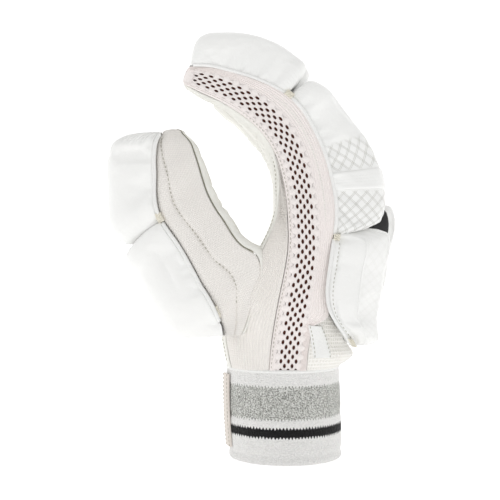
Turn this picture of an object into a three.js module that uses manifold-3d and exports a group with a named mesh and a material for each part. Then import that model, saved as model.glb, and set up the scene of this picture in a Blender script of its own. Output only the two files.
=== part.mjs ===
// A cricket batting glove for the right hand, empty, standing on the rim of its knitted cuff.
// Millimetres, +Z up. -Y is the thumb side, -X the palm and +X the back of the hand.
// The origin is the middle of the wrist opening, on the plane that the cuff stands on.
//
// The hand is drawn along a spine that leans from upright towards the palm. A section across
// the spine is a rounded rectangle, and every panel of leather or cotton is a stretch of its outline.
import * as THREE from "three";
import { mergeVertices } from "three/addons/utils/BufferGeometryUtils.js";
import Module from "manifold-3d";

const wasm = await Module();
wasm.setup();

// Driving sizes
const cuffHeight = 54;
const cuffDepth = 68; // palm to back
const cuffWidth = 75; // thumb side to little-finger side
const cuffWall = 3;
const cuffSides = 32;
const handReach = 198; // wrist to the tip of the index finger, along the spine
const handDepth = 32; // palm to back at the knuckles, without pads
const fingerGap = 2;
const panelWall = 1.6; // leather and cotton
const meshWall = 1.5;
const meshWidth = 21;
const meshHoleLength = 4.2;
const meshHoleWidth = 2.5;
const meshHoleRows = 23;
// Where the rows of holes start and end, and their places across half the strip, as shares.
const meshHoles = { from: 0.03, to: 0.93, across: [-0.54, -0.18, 0.18, 0.54], stagger: 0.18 };
const thumbReach = 122;
const thumbDepth = 30;
const thumbWidth = 30;
const thumbInset = 3; // how far the thumb's side lies inside the knuckles' side
const padRise = 30; // height of a pad over the panel that it is sewn to
const padInset = 0.2; // how far a pad's side lies inside its finger's side
const bandWall = 0.8;
const tabWall = 0.8;
const tapeWall = 1.6;
const seamGap = 0.3;

// width, reach and curl are the finger's width and its length and lean past the crotch, as shares of
// the index finger's.
// knuckle is the share of handReach where the pad on the hand ends; bulk is the height of that pad.
const fingerWidth = 25;
const fingers = [
  { name: "index", width: 1, reach: 1.0, curl: 1.0, knuckle: 0.392, bulk: 1.0 },
  { name: "middle", width: 1.04, reach: 1.02, curl: 0.91, knuckle: 0.45, bulk: 1.14 },
  { name: "ring", width: 1, reach: 0.97, curl: 0.87, knuckle: 0.435, bulk: 1.12 },
  { name: "little", width: 0.88, reach: 0.86, curl: 0.85, knuckle: 0.38, bulk: 0.95 },
];
for (const f of fingers) f.width *= fingerWidth;
const handWidth = fingers.reduce((sum, f) => sum + f.width, fingerGap * (fingers.length - 1));
fingers.reduce((edge, f) => {
  f.mid = edge + f.width / 2;
  return edge + f.width + fingerGap;
}, -handWidth / 2);

// Sections of the hand and, past the crotch, of each finger.
// along: share of handReach. lean: degrees from upright towards the palm. palm, back: share of depth.
// half: share of width. round: corner radius as a share of the thinner of palm and back.
// tip: share of the finger's own width.
const cuffSize = { depth: cuffDepth, width: cuffWidth };
const handSize = { depth: handDepth, width: handWidth };
const handRows = [
  { along: 0, lean: 0, of: cuffSize, palm: 0.475, back: 0.495, half: 0.485, round: 0.95, tip: 1 },
  { along: 0.04, lean: -2, of: cuffSize, palm: 0.505, back: 0.6, half: 0.505, round: 0.9, tip: 1 },
  { along: 0.09, lean: -5, of: cuffSize, palm: 0.54, back: 0.55, half: 0.53, round: 0.8, tip: 1 },
  { along: 0.2, lean: -8, of: handSize, palm: 0.97, back: 0.69, half: 0.44, round: 0.6, tip: 1 },
  { along: 0.333, lean: -9, of: handSize, palm: 0.66, back: 0.59, half: 0.48, round: 0.5, tip: 1 },
  { along: 0.46, lean: -2, of: handSize, palm: 0.44, back: 0.61, half: 0.5, round: 0.5, tip: 1 },
  { along: 0.56, lean: 9, of: handSize, palm: 0.41, back: 0.54, half: 0.5, round: 0.5, tip: 1 },
  { along: 0.65, lean: 25, of: handSize, palm: 0.39, back: 0.5, half: 0.5, round: 0.45, tip: 1 },
  { along: 0.735, lean: 43, of: handSize, palm: 0.38, back: 0.5, half: 0.5, round: 0.45, tip: 1 },
  { along: 0.82, lean: 58, of: handSize, palm: 0.36, back: 0.4, half: 0.5, round: 0.5, tip: 1 },
  { along: 0.9, lean: 67, of: handSize, palm: 0.29, back: 0.31, half: 0.5, round: 0.55, tip: 0.96 },
  { along: 0.96, lean: 72, of: handSize, palm: 0.26, back: 0.26, half: 0.5, round: 0.6, tip: 0.86 },
  { along: 1, lean: 74, of: handSize, palm: 0.2, back: 0.2, half: 0.5, round: 0.6, tip: 0.66 },
];
const crotch = 0.52; // share of handReach where the fingers part

// The thumb's own sections, from its root in the palm to its tip.
const thumbSize = { depth: thumbDepth, width: thumbWidth };
const thumbRows = [
  { along: 0, lean: 2, of: thumbSize, palm: 0.17, back: 0.2, half: 0.22, round: 0.6 },
  { along: 0.15, lean: 18, of: thumbSize, palm: 0.63, back: 0.27, half: 0.38, round: 0.6 },
  { along: 0.22, lean: 24, of: thumbSize, palm: 0.95, back: 0.3, half: 0.45, round: 0.6 },
  { along: 0.28, lean: 30, of: thumbSize, palm: 1.05, back: 0.32, half: 0.48, round: 0.6 },
  { along: 0.35, lean: 30, of: thumbSize, palm: 0.88, back: 0.31, half: 0.5, round: 0.6 },
  { along: 0.52, lean: 30, of: thumbSize, palm: 0.79, back: 0.31, half: 0.5, round: 0.6 },
  { along: 0.66, lean: 18, of: thumbSize, palm: 0.73, back: 0.4, half: 0.49, round: 0.5 },
  { along: 0.8, lean: 3, of: thumbSize, palm: 0.65, back: 0.33, half: 0.48, round: 0.5 },
  { along: 0.9, lean: 1, of: thumbSize, palm: 0.52, back: 0.32, half: 0.44, round: 0.5 },
  { along: 0.96, lean: 0, of: thumbSize, palm: 0.4, back: 0.28, half: 0.38, round: 0.6 },
  { along: 1, lean: 0, of: thumbSize, palm: 0.22, back: 0.2, half: 0.28, round: 0.7 },
];
// drop: share of the way from the hand's spine to its palm face
const thumbRoot = { along: 0.09, drop: 0.78 };

// The mesh strip on the thumb side. centre, half: shares of meshWidth from the spine towards the back.
const meshRows = [
  { along: 0, centre: 0.13, half: 0.5 },
  { along: 0.09, centre: 0.17, half: 0.5 },
  { along: 0.2, centre: 0.22, half: 0.5 },
  { along: 0.333, centre: 0.24, half: 0.48 },
  { along: 0.46, centre: 0.1, half: 0.46 },
  { along: 0.56, centre: 0.02, half: 0.45 },
  { along: 0.65, centre: 0, half: 0.44 },
  { along: 0.82, centre: 0, half: 0.42 },
  { along: 0.9, centre: 0, half: 0.38 },
  { along: 0.97, centre: 0, half: 0.32 },
  { along: 1, centre: 0, half: 0.26 },
];
const ribFrom = 0.5; // the leather starts to climb towards the mesh here
const ribTo = 0.66; // and meets it here
const ribStop = 0.63; // the ribbed panel stops while it is still about 2 mm wide

// Pads. u: share of the pad's own length, rise: share of padRise, half: share of the pad's width.
// slant: how far the top of the section leads its foot, as a share of the limb's reach.
const tipPadRows = [
  { u: 0, rise: 0.5, half: 0.86, slant: 0 },
  { u: 0.04, rise: 0.64, half: 0.97, slant: 0 },
  { u: 0.16, rise: 0.73, half: 1, slant: 0 },
  { u: 0.36, rise: 0.8, half: 1, slant: 0 },
  { u: 0.6, rise: 0.78, half: 1, slant: 0 },
  { u: 0.8, rise: 0.69, half: 0.98, slant: 0 },
  { u: 0.93, rise: 0.59, half: 0.92, slant: 0 },
  { u: 1, rise: 0.36, half: 0.8, slant: 0 },
];
const midPadRows = [
  { u: 0, rise: 0.36, half: 0.74, slant: 0.02 },
  { u: 0.05, rise: 0.66, half: 0.9, slant: 0.02 },
  { u: 0.14, rise: 0.83, half: 0.97, slant: 0.01 },
  { u: 0.28, rise: 0.95, half: 1, slant: 0 },
  { u: 0.45, rise: 0.93, half: 1, slant: 0 },
  { u: 0.75, rise: 0.68, half: 1, slant: 0 },
  { u: 0.96, rise: 0.55, half: 0.97, slant: 0 },
  { u: 1, rise: 0.48, half: 0.86, slant: 0 },
];
const handPadRows = [
  { u: 0, rise: 0.32, half: 0.6, slant: 0 },
  { u: 0.06, rise: 0.56, half: 0.78, slant: 0 },
  { u: 0.15, rise: 0.74, half: 0.92, slant: 0 },
  { u: 0.25, rise: 0.88, half: 0.98, slant: 0 },
  { u: 0.45, rise: 1.05, half: 1, slant: 0 },
  { u: 0.75, rise: 1.08, half: 1, slant: 0.005 },
  { u: 0.96, rise: 1.06, half: 0.97, slant: 0.02 },
  { u: 1, rise: 0.94, half: 0.86, slant: 0.024 },
];
const thumbBaseRows = [
  { u: 0, rise: 0.44, half: 0.6, slant: -0.09 },
  { u: 0.09, rise: 0.72, half: 0.8, slant: -0.07 },
  { u: 0.2, rise: 0.86, half: 0.94, slant: -0.04 },
  { u: 0.45, rise: 0.95, half: 1, slant: 0 },
  { u: 0.75, rise: 0.97, half: 1, slant: -0.02 },
  { u: 0.95, rise: 0.94, half: 0.98, slant: -0.05 },
  { u: 1, rise: 0.78, half: 0.88, slant: -0.05 },
];
const thumbTipRows = [
  { u: 0, rise: 0.7, half: 0.88, slant: -0.05 },
  { u: 0.06, rise: 0.86, half: 0.98, slant: -0.045 },
  { u: 0.35, rise: 0.91, half: 1, slant: 0 },
  { u: 0.72, rise: 0.88, half: 1, slant: 0 },
  { u: 0.92, rise: 0.74, half: 0.93, slant: 0 },
  { u: 1, rise: 0.5, half: 0.78, slant: 0 },
];
const padJoint = 0.748; // share of handReach where the tip pad meets the mid pad
const padTop = 1.005;
const padFoot = 0.095;
const padGap = 0.008; // share of handReach left open between two pads
const thumbPads = { foot: 0.07, joint: 0.622, top: 1, gap: 0.01 };

// Outlines of a pad's section, from one foot over the top. y: share of its half width, d: share of its rise.
const roundOutline = [
  { y: 1, d: 0 },
  { y: 1, d: 0.52 },
  { y: 0.87, d: 0.84 },
  { y: 0.5, d: 1 },
];
const bevelOutline = [
  { y: 1, d: 0 },
  { y: 1, d: 0.58 },
  { y: 0.94, d: 0.67 },
  { y: 0.52, d: 0.95 },
  { y: 0.4, d: 1 },
];
const bands = { from: 0.512, to: 0.552, foot: 0.04 }; // shares of handReach, and of the rise

// The black inset, the label tab and the cuff tape.
const inset = { from: 0.395, to: 0.445, low: 0.4, high: 0.915, across: 0.57 }; // on the middle hand pad
const tab = { from: 0.04, to: 0.14, low: 0.4, high: 0.66 }; // shares of handReach and of back
const tape = { from: 0.14, to: 0.93, start: 188, end: 204, steps: 3 }; // shares of cuffHeight, degrees

// One property of a table at a place between its rows.
function valueAt(rows, key, place, read) {
  const last = rows.length - 1;
  let i = 0;
  while (i < last - 1 && rows[i + 1][key] < place) i++;
  const share = (place - rows[i][key]) / (rows[i + 1][key] - rows[i][key]);
  return THREE.MathUtils.lerp(read(rows[i]), read(rows[i + 1]), THREE.MathUtils.clamp(share, 0, 1));
}

// A spine with its sections. facing is 1 where the back lies towards +X, and -1 where it lies towards -X.
function makeLimb({ rows, start, reach, stretch = 1, curl = 1, facing = 1, mid = 0, halfAt }) {
  const step = 0.005;
  const beyond = 1.06;
  const points = [{ x: start.x, z: start.z }];
  const leanAt = (v) => {
    const degrees = valueAt(rows, "along", v, (r) => r.lean);
    return THREE.MathUtils.degToRad(degrees * (degrees > 0 ? curl : 1));
  };
  for (let v = 0; v < beyond; v += step) {
    const lean = leanAt(v + step / 2);
    const length = reach * step * (v >= crotch ? stretch : 1);
    const from = points[points.length - 1];
    points.push({ x: from.x - Math.sin(lean) * length, z: from.z + Math.cos(lean) * length });
  }
  const size = (v) => {
    const palm = valueAt(rows, "along", v, (r) => r.palm * r.of.depth);
    const back = valueAt(rows, "along", v, (r) => r.back * r.of.depth);
    const round = valueAt(rows, "along", v, (r) => r.round) * Math.min(palm, back);
    return { palm, back, half: halfAt(v), round };
  };
  const at = (v, y, d) => {
    const i = Math.min(Math.max(Math.floor(v / step), 0), points.length - 2);
    const share = v / step - i;
    const lean = leanAt(v);
    const x = THREE.MathUtils.lerp(points[i].x, points[i + 1].x, share);
    const z = THREE.MathUtils.lerp(points[i].z, points[i + 1].z, share);
    return new THREE.Vector3(x + facing * d * Math.cos(lean), mid + y, z + facing * d * Math.sin(lean));
  };
  return { at, size };
}

const wristStart = { x: -0.01 * cuffDepth, z: cuffHeight + seamGap };
const hand = makeLimb({
  rows: handRows,
  start: wristStart,
  reach: handReach,
  halfAt: (v) => valueAt(handRows, "along", v, (r) => r.half * r.of.width),
});
for (const f of fingers) {
  f.limb = makeLimb({
    rows: handRows,
    start: wristStart,
    reach: handReach,
    stretch: f.reach,
    curl: f.curl,
    mid: f.mid,
    halfAt: (v) => valueAt(handRows, "along", v, (r) => (r.tip * f.width) / 2),
  });
}
const rootPoint = hand.at(thumbRoot.along, 0, -thumbRoot.drop * hand.size(thumbRoot.along).palm);
const thumb = makeLimb({
  rows: thumbRows,
  start: rootPoint,
  reach: thumbReach,
  facing: -1,
  mid: -(handWidth / 2 - thumbInset - thumbWidth / 2),
  halfAt: (v) => valueAt(thumbRows, "along", v, (r) => r.half * r.of.width),
});

// The outline of a section, measured from the middle of its palm or back face towards a side.
function faceReach(half, depth, round, height) {
  const flat = half - round;
  if (height <= depth - round) return flat + (round * Math.PI) / 2 + (depth - round - height);
  return flat + round * Math.acos((height - depth + round) / round);
}
function facePoint(half, depth, round, q) {
  const flat = half - round;
  const arc = (round * Math.PI) / 2;
  if (q <= flat) return { y: q, d: depth, ny: 0, nd: 1 };
  if (q > flat + arc) return { y: half, d: depth - round - (q - flat - arc), ny: 1, nd: 0 };
  const turn = (q - flat) / round;
  const [ny, nd] = [Math.sin(turn), Math.cos(turn)];
  return { y: flat + round * ny, d: depth - round + round * nd, ny, nd };
}

// A closed solid from its points and triangles, turned so that its faces point out.
function closedSolid(points, faces) {
  const volume = faces.reduce((sum, [a, b, c]) => {
    return sum + points[a].dot(new THREE.Vector3().crossVectors(points[b], points[c]));
  }, 0);
  const index = faces.flatMap(([a, b, c]) => (volume < 0 ? [a, c, b] : [a, b, c]));
  const geometry = new THREE.BufferGeometry().setFromPoints(points).setIndex(index);
  return solidOf(geometry);
}
function solidOf(geometry) {
  geometry.deleteAttribute("normal");
  geometry.deleteAttribute("uv");
  const merged = mergeVertices(geometry, 1e-4);
  const mesh = new wasm.Mesh({
    numProp: 3,
    vertProperties: merged.attributes.position.array,
    triVerts: new Uint32Array(merged.index.array),
  });
  return new wasm.Manifold(mesh);
}

// A sheet from two grids of points, outside and inside, closed round its four edges.
function sheetSolid(outside, inside) {
  const [rows, columns] = [outside.length, outside[0].length];
  const points = [...outside.flat(), ...inside.flat()];
  const id = (side, i, j) => side * rows * columns + i * columns + j;
  const faces = [];
  const quad = (a, b, c, d) => faces.push([a, b, c], [a, c, d]);
  for (let i = 0; i < rows - 1; i++) {
    for (let j = 0; j < columns - 1; j++) {
      quad(id(0, i, j), id(0, i, j + 1), id(0, i + 1, j + 1), id(0, i + 1, j));
      quad(id(1, i, j), id(1, i + 1, j), id(1, i + 1, j + 1), id(1, i, j + 1));
    }
    quad(id(0, i, 0), id(0, i + 1, 0), id(1, i + 1, 0), id(1, i, 0));
    quad(id(0, i + 1, columns - 1), id(0, i, columns - 1), id(1, i, columns - 1), id(1, i + 1, columns - 1));
  }
  for (let j = 0; j < columns - 1; j++) {
    quad(id(0, 0, j + 1), id(0, 0, j), id(1, 0, j), id(1, 0, j + 1));
    quad(id(0, rows - 1, j), id(0, rows - 1, j + 1), id(1, rows - 1, j + 1), id(1, rows - 1, j));
  }
  return closedSolid(points, faces);
}

// A closed body through rings of points, with flat ends.
function loftSolid(rings) {
  const n = rings[0].length;
  const faces = [];
  for (let i = 0; i < rings.length - 1; i++) {
    for (let j = 0; j < n; j++) {
      const [a, b] = [i * n + j, i * n + ((j + 1) % n)];
      faces.push([a, b, b + n], [a, b + n, a + n]);
    }
  }
  const last = (rings.length - 1) * n;
  for (let j = 1; j < n - 1; j++) faces.push([0, j + 1, j], [last, last + j, last + j + 1]);
  return closedSolid(rings.flat(), faces);
}

function spread(from, to, count) {
  return Array.from({ length: count + 1 }, (_, i) => THREE.MathUtils.lerp(from, to, i / count));
}
// Lengths along a section's outline, from the first end of the rounded corner to the edge of a panel.
function cornerSteps(half, round, edge, turns) {
  const flat = half - round;
  const arc = (round * Math.PI) / 2;
  if (edge > flat + arc) return [...spread(flat, flat + arc, turns), edge];
  return spread(flat, edge, turns + 1);
}
// Heights over the spine's plane, from the middle of a side to the edge of a panel that may reach the corner.
function sideSteps(depth, round, edge, turns) {
  const straight = depth - round;
  if (edge <= straight) return spread(0, edge, turns + 1).slice(1);
  const full = Math.acos((edge - straight) / round);
  return spread(Math.PI / 2, full, turns).map((angle) => straight + round * Math.cos(angle));
}

// A panel on the palm face (face -1) or the back face (face 1), wrapped round both corners.
// nearEdge and farEdge give how far from the spine's plane each of its edges lies, at v.
function facePanel(limb, { face, places, turns, nearEdge, farEdge, wall = panelWall }) {
  const grid = (depthIn) =>
    places.map((v) => {
      const s = limb.size(v);
      const depth = face < 0 ? s.palm : s.back;
      const steps = (edge) => cornerSteps(s.half, s.round, faceReach(s.half, depth, s.round, edge), turns);
      const point = (q, side) => {
        const p = facePoint(s.half, depth, s.round, q);
        return limb.at(v, side * (p.y - depthIn * p.ny), face * (p.d - depthIn * p.nd));
      };
      const near = steps(nearEdge(v, s)).map((q) => point(q, -1));
      return [...near.reverse(), ...steps(farEdge(v, s)).map((q) => point(q, 1))];
    });
  return sheetSolid(grid(0), grid(wall));
}

// A panel on the thumb side (side -1) or the little-finger side (side 1), between two heights d.
function sidePanel(limbAt, { side, places, heights, wall = panelWall, lift = 0 }) {
  const grid = (depthIn) =>
    places.map((v) => {
      const limb = limbAt(v);
      const s = limb.size(v);
      return heights(v, s).map((d) => {
        const depth = d < 0 ? s.palm : s.back;
        const p = facePoint(s.half, depth, s.round, faceReach(s.half, depth, s.round, Math.abs(d)));
        return limb.at(v, side * (p.y - depthIn * p.ny), Math.sign(d) * (p.d - depthIn * p.nd));
      });
    });
  return lift ? sheetSolid(grid(-lift - wall), grid(-lift)) : sheetSolid(grid(0), grid(wall));
}
// The heights of a side panel that spans the spine's plane, from low on the palm side to high on the back.
function acrossSide(low, high, turns = 2) {
  return (v, s) => [
    ...sideSteps(s.palm, s.round, low(s), turns).map((d) => -d).reverse(),
    ...sideSteps(s.back, s.round, high(s), turns),
  ];
}

// The whole outline of a limb's section as a ring, grown by grow.
function sectionRing(limb, v, grow, turns) {
  const s = limb.size(v);
  const quarter = (face, side) => {
    const depth = face < 0 ? s.palm : s.back;
    return cornerSteps(s.half, s.round, faceReach(s.half, depth, s.round, 0), turns).map((q) => {
      const p = facePoint(s.half, depth, s.round, q);
      return limb.at(v, side * (p.y + grow * p.ny), face * (p.d + grow * p.nd));
    });
  };
  return [
    ...quarter(1, 1),
    ...quarter(-1, 1).reverse().slice(1),
    ...quarter(-1, -1),
    ...quarter(1, -1).reverse().slice(1),
  ];
}
function envelope(limb, places, grow, turns) {
  return loftSolid(places.map((v) => sectionRing(limb, v, grow, turns)));
}

const mesh = {
  centre: (v) => valueAt(meshRows, "along", v, (r) => r.centre * meshWidth),
  half: (v) => valueAt(meshRows, "along", v, (r) => r.half * meshWidth),
};
const meshLow = (v) => mesh.centre(v) - mesh.half(v);
const meshHigh = (v) => mesh.centre(v) + mesh.half(v);

// Where the seams run, as heights over the spine's plane.
const palmSeam = 0.93; // share of palm where the leather ends beside the ribbed panel
const outerPalmSeam = 0.55;
const outerBackSeam = 0.5;
const fingerPalmSeam = 0.3;
const fingerBackSeam = 0.4;
const handTurns = 3; // facets round a corner of the hand
const fingerTurns = 2;
const thumbTurns = 2;
function nearPalmEdge(v, s) {
  const climb = THREE.MathUtils.clamp((v - ribFrom) / (ribTo - ribFrom), 0, 1);
  return THREE.MathUtils.lerp(palmSeam * s.palm, -meshLow(v) + seamGap, climb);
}
const nearBackEdge = (v) => meshHigh(v) + seamGap;
const firstFinger = fingers[0];
const lastFinger = fingers[fingers.length - 1];
const sameLimb = (limb) => () => limb;
const nearLimb = (v) => (v < crotch ? hand : firstFinger.limb);
const farLimb = (v) => (v < crotch ? hand : lastFinger.limb);

const handPlaces = [0, 0.04, 0.09, 0.145, 0.2, 0.333, 0.4, 0.46, crotch];
const fingerRoot = crotch + seamGap / handReach;
const fingerPlaces = [fingerRoot, 0.56, 0.62, 0.68, 0.735, 0.79, 0.85, 0.92, 1];
const fingerEnd = fingerPlaces[fingerPlaces.length - 1];
const sidePlaces = [...handPlaces, ...fingerPlaces.slice(1)];
const partedPlaces = [crotch, ...fingerPlaces.slice(1)];

function palmLeather() {
  return facePanel(hand, {
    face: -1,
    places: handPlaces,
    turns: handTurns,
    nearEdge: nearPalmEdge,
    farEdge: (v, s) => outerPalmSeam * s.palm,
  });
}

// The leather of a finger's palm side, with a turned end over the fingertip.
function fingerFront(f) {
  const overTip = fingerEnd + (seamGap + panelWall) / (handReach * f.reach);
  const front = facePanel(f.limb, {
    face: -1,
    places: [...fingerPlaces, overTip],
    turns: fingerTurns,
    nearEdge: (v, s) => (f === firstFinger ? nearPalmEdge(v, s) : fingerPalmSeam * s.palm),
    farEdge: (v, s) => (f === lastFinger ? outerPalmSeam : fingerPalmSeam) * s.palm,
  });
  const end = envelope(f.limb, [fingerEnd + seamGap / (handReach * f.reach), overTip], 0, fingerTurns);
  return front.add(end);
}

function backPanel() {
  return facePanel(hand, {
    face: 1,
    places: handPlaces,
    turns: handTurns,
    nearEdge: nearBackEdge,
    farEdge: (v, s) => outerBackSeam * s.back,
  });
}

function fingerBack(f) {
  return facePanel(f.limb, {
    face: 1,
    places: fingerPlaces,
    turns: fingerTurns,
    nearEdge: (v, s) => (f === firstFinger ? nearBackEdge(v) : fingerBackSeam * s.back),
    farEdge: (v, s) => (f === lastFinger ? outerBackSeam : fingerBackSeam) * s.back,
  });
}

function ribPanel() {
  return sidePanel(nearLimb, {
    side: -1,
    places: [...handPlaces, 0.56, 0.6, ribStop],
    heights: (v, s) => spread(-nearPalmEdge(v, s) + seamGap, meshLow(v) - seamGap, 4),
  });
}

// The pierced gusset: staggered rows of diamond holes, cut through along Y.
function meshStrip() {
  const strip = sidePanel(nearLimb, {
    side: -1,
    places: sidePlaces,
    heights: (v) => spread(meshLow(v), meshHigh(v), 2),
    wall: meshWall,
  });
  const cutters = [];
  spread(meshHoles.from, meshHoles.to, meshHoleRows - 1).forEach((v, row) => {
    const shift = ((row % 2 ? 1 : -1) * meshHoles.stagger) / 2;
    for (const place of meshHoles.across) {
      const d = mesh.centre(v) + (place + shift) * mesh.half(v);
      const shrink = mesh.half(v) / (meshWidth / 2);
      const long = meshHoleLength / 2 / handReach;
      const wide = (meshHoleWidth / 2) * shrink;
      const corners = [[v - long, d], [v, d + wide], [v + long, d], [v, d - wide]];
      const out = handWidth;
      cutters.push(loftSolid([-out, 0].map((y) => corners.map(([cv, cd]) => hand.at(cv, y, cd)))));
    }
  });
  return strip.subtract(wasm.Manifold.union(cutters));
}

function outerSide() {
  return sidePanel(farLimb, {
    side: 1,
    places: sidePlaces,
    heights: acrossSide((s) => outerPalmSeam * s.palm - seamGap, (s) => outerBackSeam * s.back - seamGap),
  });
}

// The gusset between two fingers: a strip up each of them and a web at the crotch.
function fourchette(one, other) {
  const low = (s) => fingerPalmSeam * s.palm - seamGap;
  const high = (s) => fingerBackSeam * s.back - seamGap;
  const heights = (v, s) => [-low(s), seamGap, high(s)];
  const strip = (f, side) => sidePanel(sameLimb(f.limb), { side, places: partedPlaces, heights });
  const webLength = 0.02; // share of handReach
  const web = loftSolid(
    [crotch, crotch + webLength].map((v) => {
      const s = hand.size(v);
      const from = one.mid + one.width / 2 - panelWall;
      const to = other.mid - other.width / 2 + panelWall;
      return [[from, -low(s)], [to, -low(s)], [to, high(s)], [from, high(s)]].map(([y, d]) =>
        hand.at(v, y, d),
      );
    }),
  );
  return strip(one, 1).add(strip(other, -1)).add(web);
}

const thumbPlaces = [0, 0.08, 0.15, 0.22, 0.28, 0.35, 0.52, 0.59, 0.66, 0.73, 0.8, 0.9, 0.96, 1];
const gripSeam = 0.74; // share of the thumb's palm side where its leather ends
const nailSeam = 0.78;
// The hollow of the hand, which the thumb's panels stop at, and the thumb's form, which the palm stops at.
// Both start a little before the limb does, to cut right through.
const early = -0.01;
const handHollow = envelope(hand, [2 * early, ...handPlaces.slice(1)], -panelWall, handTurns);
const thumbForm = envelope(thumb, [early, ...thumbPlaces.slice(1)], 2 * seamGap, thumbTurns);
function thumbPanels() {
  const overTip = 1 + (seamGap + panelWall) / thumbReach;
  const grip = facePanel(thumb, {
    face: -1,
    places: [...thumbPlaces, overTip],
    turns: thumbTurns,
    nearEdge: (v, s) => gripSeam * s.palm,
    farEdge: (v, s) => gripSeam * s.palm,
  }).add(envelope(thumb, [1 + seamGap / thumbReach, overTip], 0, thumbTurns));
  const nail = facePanel(thumb, {
    face: 1,
    places: thumbPlaces,
    turns: thumbTurns,
    nearEdge: (v, s) => nailSeam * s.back,
    farEdge: (v, s) => nailSeam * s.back,
  });
  const side = (which) =>
    sidePanel(sameLimb(thumb), {
      side: which,
      places: thumbPlaces,
      heights: acrossSide((s) => gripSeam * s.palm - seamGap, (s) => nailSeam * s.back - seamGap),
    });
  return {
    thumb_grip: grip,
    thumb_back: nail,
    thumb_side_near: side(-1),
    thumb_side_far: side(1),
  };
}

// A point of a pad, from shares of its half width and rise, grown by grow. The pad stands on the back panel.
function padPoint(limb, { rows, from, to, half, scale = 1 }, v, { y, d }, grow = 0) {
  const u = (v - from) / (to - from);
  const rise = valueAt(rows, "u", u, (r) => r.rise) * padRise * scale + grow;
  const wide = valueAt(rows, "u", u, (r) => r.half) * half + grow;
  const lead = valueAt(rows, "u", u, (r) => r.slant) * d * d;
  return limb.at(v + lead, y * wide, limb.size(v).back + seamGap + d * rise);
}
// The places where its rings go: its own rows and the limb's bends, but no two nearer than this.
const nearest = 0.006;
function padPlaces({ rows, from, to }, bends) {
  const own = rows.map((r) => THREE.MathUtils.lerp(from, to, r.u));
  const clear = bends.filter((v) => v > from && v < to && own.every((o) => Math.abs(o - v) > nearest));
  return [...own, ...clear].sort((a, b) => a - b);
}
function padRings(limb, shape, places, outline = shape.outline, grow = 0) {
  const both = [...outline, ...outline.map((p) => ({ y: -p.y, d: p.d })).reverse()];
  return places.map((v) => both.map((p) => padPoint(limb, shape, v, p, grow)));
}
const pad = (limb, shape, bends) => loftSolid(padRings(limb, shape, padPlaces(shape, bends)));

function fingerPads(f) {
  const half = f.width / 2 - padInset;
  const above = f.knuckle + padGap;
  const tipEnd = padJoint + padGap;
  return {
    [f.name + "_tip_pad"]: { rows: tipPadRows, outline: roundOutline, from: tipEnd, to: padTop, half },
    [f.name + "_mid_pad"]: { rows: midPadRows, outline: roundOutline, from: above, to: padJoint, half },
    [f.name + "_hand_pad"]: {
      rows: handPadRows,
      outline: bevelOutline,
      from: padFoot,
      to: f.knuckle,
      half,
      scale: f.bulk,
    },
  };
}

// A strip over the mid pad, from one foot over the top to the other.
function padBand(f, shape) {
  const inside = padPlaces(shape, sidePlaces).filter((v) => v > bands.from && v < bands.to);
  const outline = [{ y: 1, d: bands.foot }, ...roundOutline.slice(1)];
  const layer = (grow) => padRings(f.limb, shape, [bands.from, ...inside, bands.to], outline, grow);
  return sheetSolid(layer(seamGap + bandWall), layer(seamGap));
}

// The black inset lies on the thumb side of the middle finger's hand pad.
function knuckleInset(f, shape) {
  const outline = [{ y: -1, d: inset.low }, ...bevelOutline.slice(1, 3).map((p) => ({ y: -p.y, d: p.d }))];
  outline.push({ y: -inset.across, d: inset.high });
  const inside = padPlaces(shape, sidePlaces).filter((v) => v > inset.from && v < inset.to);
  const layer = (grow) =>
    [inset.from, ...inside, inset.to].map((v) => outline.map((p) => padPoint(f.limb, shape, v, p, grow)));
  return sheetSolid(layer(seamGap + bandWall), layer(seamGap));
}

function ellipse(depth, width, z, from = 0, to = 360, count = cuffSides) {
  return spread(from, to, count).map((degrees) => {
    const turn = THREE.MathUtils.degToRad(degrees);
    return new THREE.Vector3((depth / 2) * Math.cos(turn), (width / 2) * Math.sin(turn), z);
  });
}
function cuffTube() {
  const body = (shrink, zs) =>
    loftSolid(zs.map((z) => ellipse(cuffDepth - shrink, cuffWidth - shrink, z).slice(0, -1)));
  const through = [-cuffWall, cuffHeight + cuffWall];
  return body(0, [0, cuffHeight]).subtract(body(2 * cuffWall, through));
}
function cuffTape() {
  const layer = (off) =>
    spread(tape.from * cuffHeight, tape.to * cuffHeight, tape.steps).map((z) =>
      ellipse(cuffDepth + 2 * off, cuffWidth + 2 * off, z, tape.start, tape.end, tape.steps),
    );
  return sheetSolid(layer(seamGap + tapeWall), layer(seamGap));
}

const leather = new THREE.MeshStandardMaterial({ color: "#f1f1ee", roughness: 0.5 });
const palmSkin = new THREE.MeshStandardMaterial({ color: "#eeede6", roughness: 0.75 });
const cotton = new THREE.MeshStandardMaterial({ color: "#ece8e2", roughness: 0.95 });
const netting = new THREE.MeshStandardMaterial({ color: "#f3e6e2", roughness: 0.9 });
const knit = new THREE.MeshStandardMaterial({ color: "#f2f1ef", roughness: 0.98 });
const blackLeather = new THREE.MeshStandardMaterial({ color: "#1d1d1e", roughness: 0.6 });
const woven = new THREE.MeshStandardMaterial({ color: "#fbfbfa", roughness: 0.8 });

const glove = new THREE.Group();
function show(name, solid, material) {
  const m = solid.getMesh();
  const geometry = new THREE.BufferGeometry();
  geometry.setAttribute("position", new THREE.BufferAttribute(new Float32Array(m.vertProperties), 3));
  geometry.setIndex(new THREE.BufferAttribute(new Uint32Array(m.triVerts), 1));
  geometry.computeVertexNormals();
  const piece = new THREE.Mesh(geometry, material);
  piece.name = name;
  glove.add(piece);
}

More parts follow.
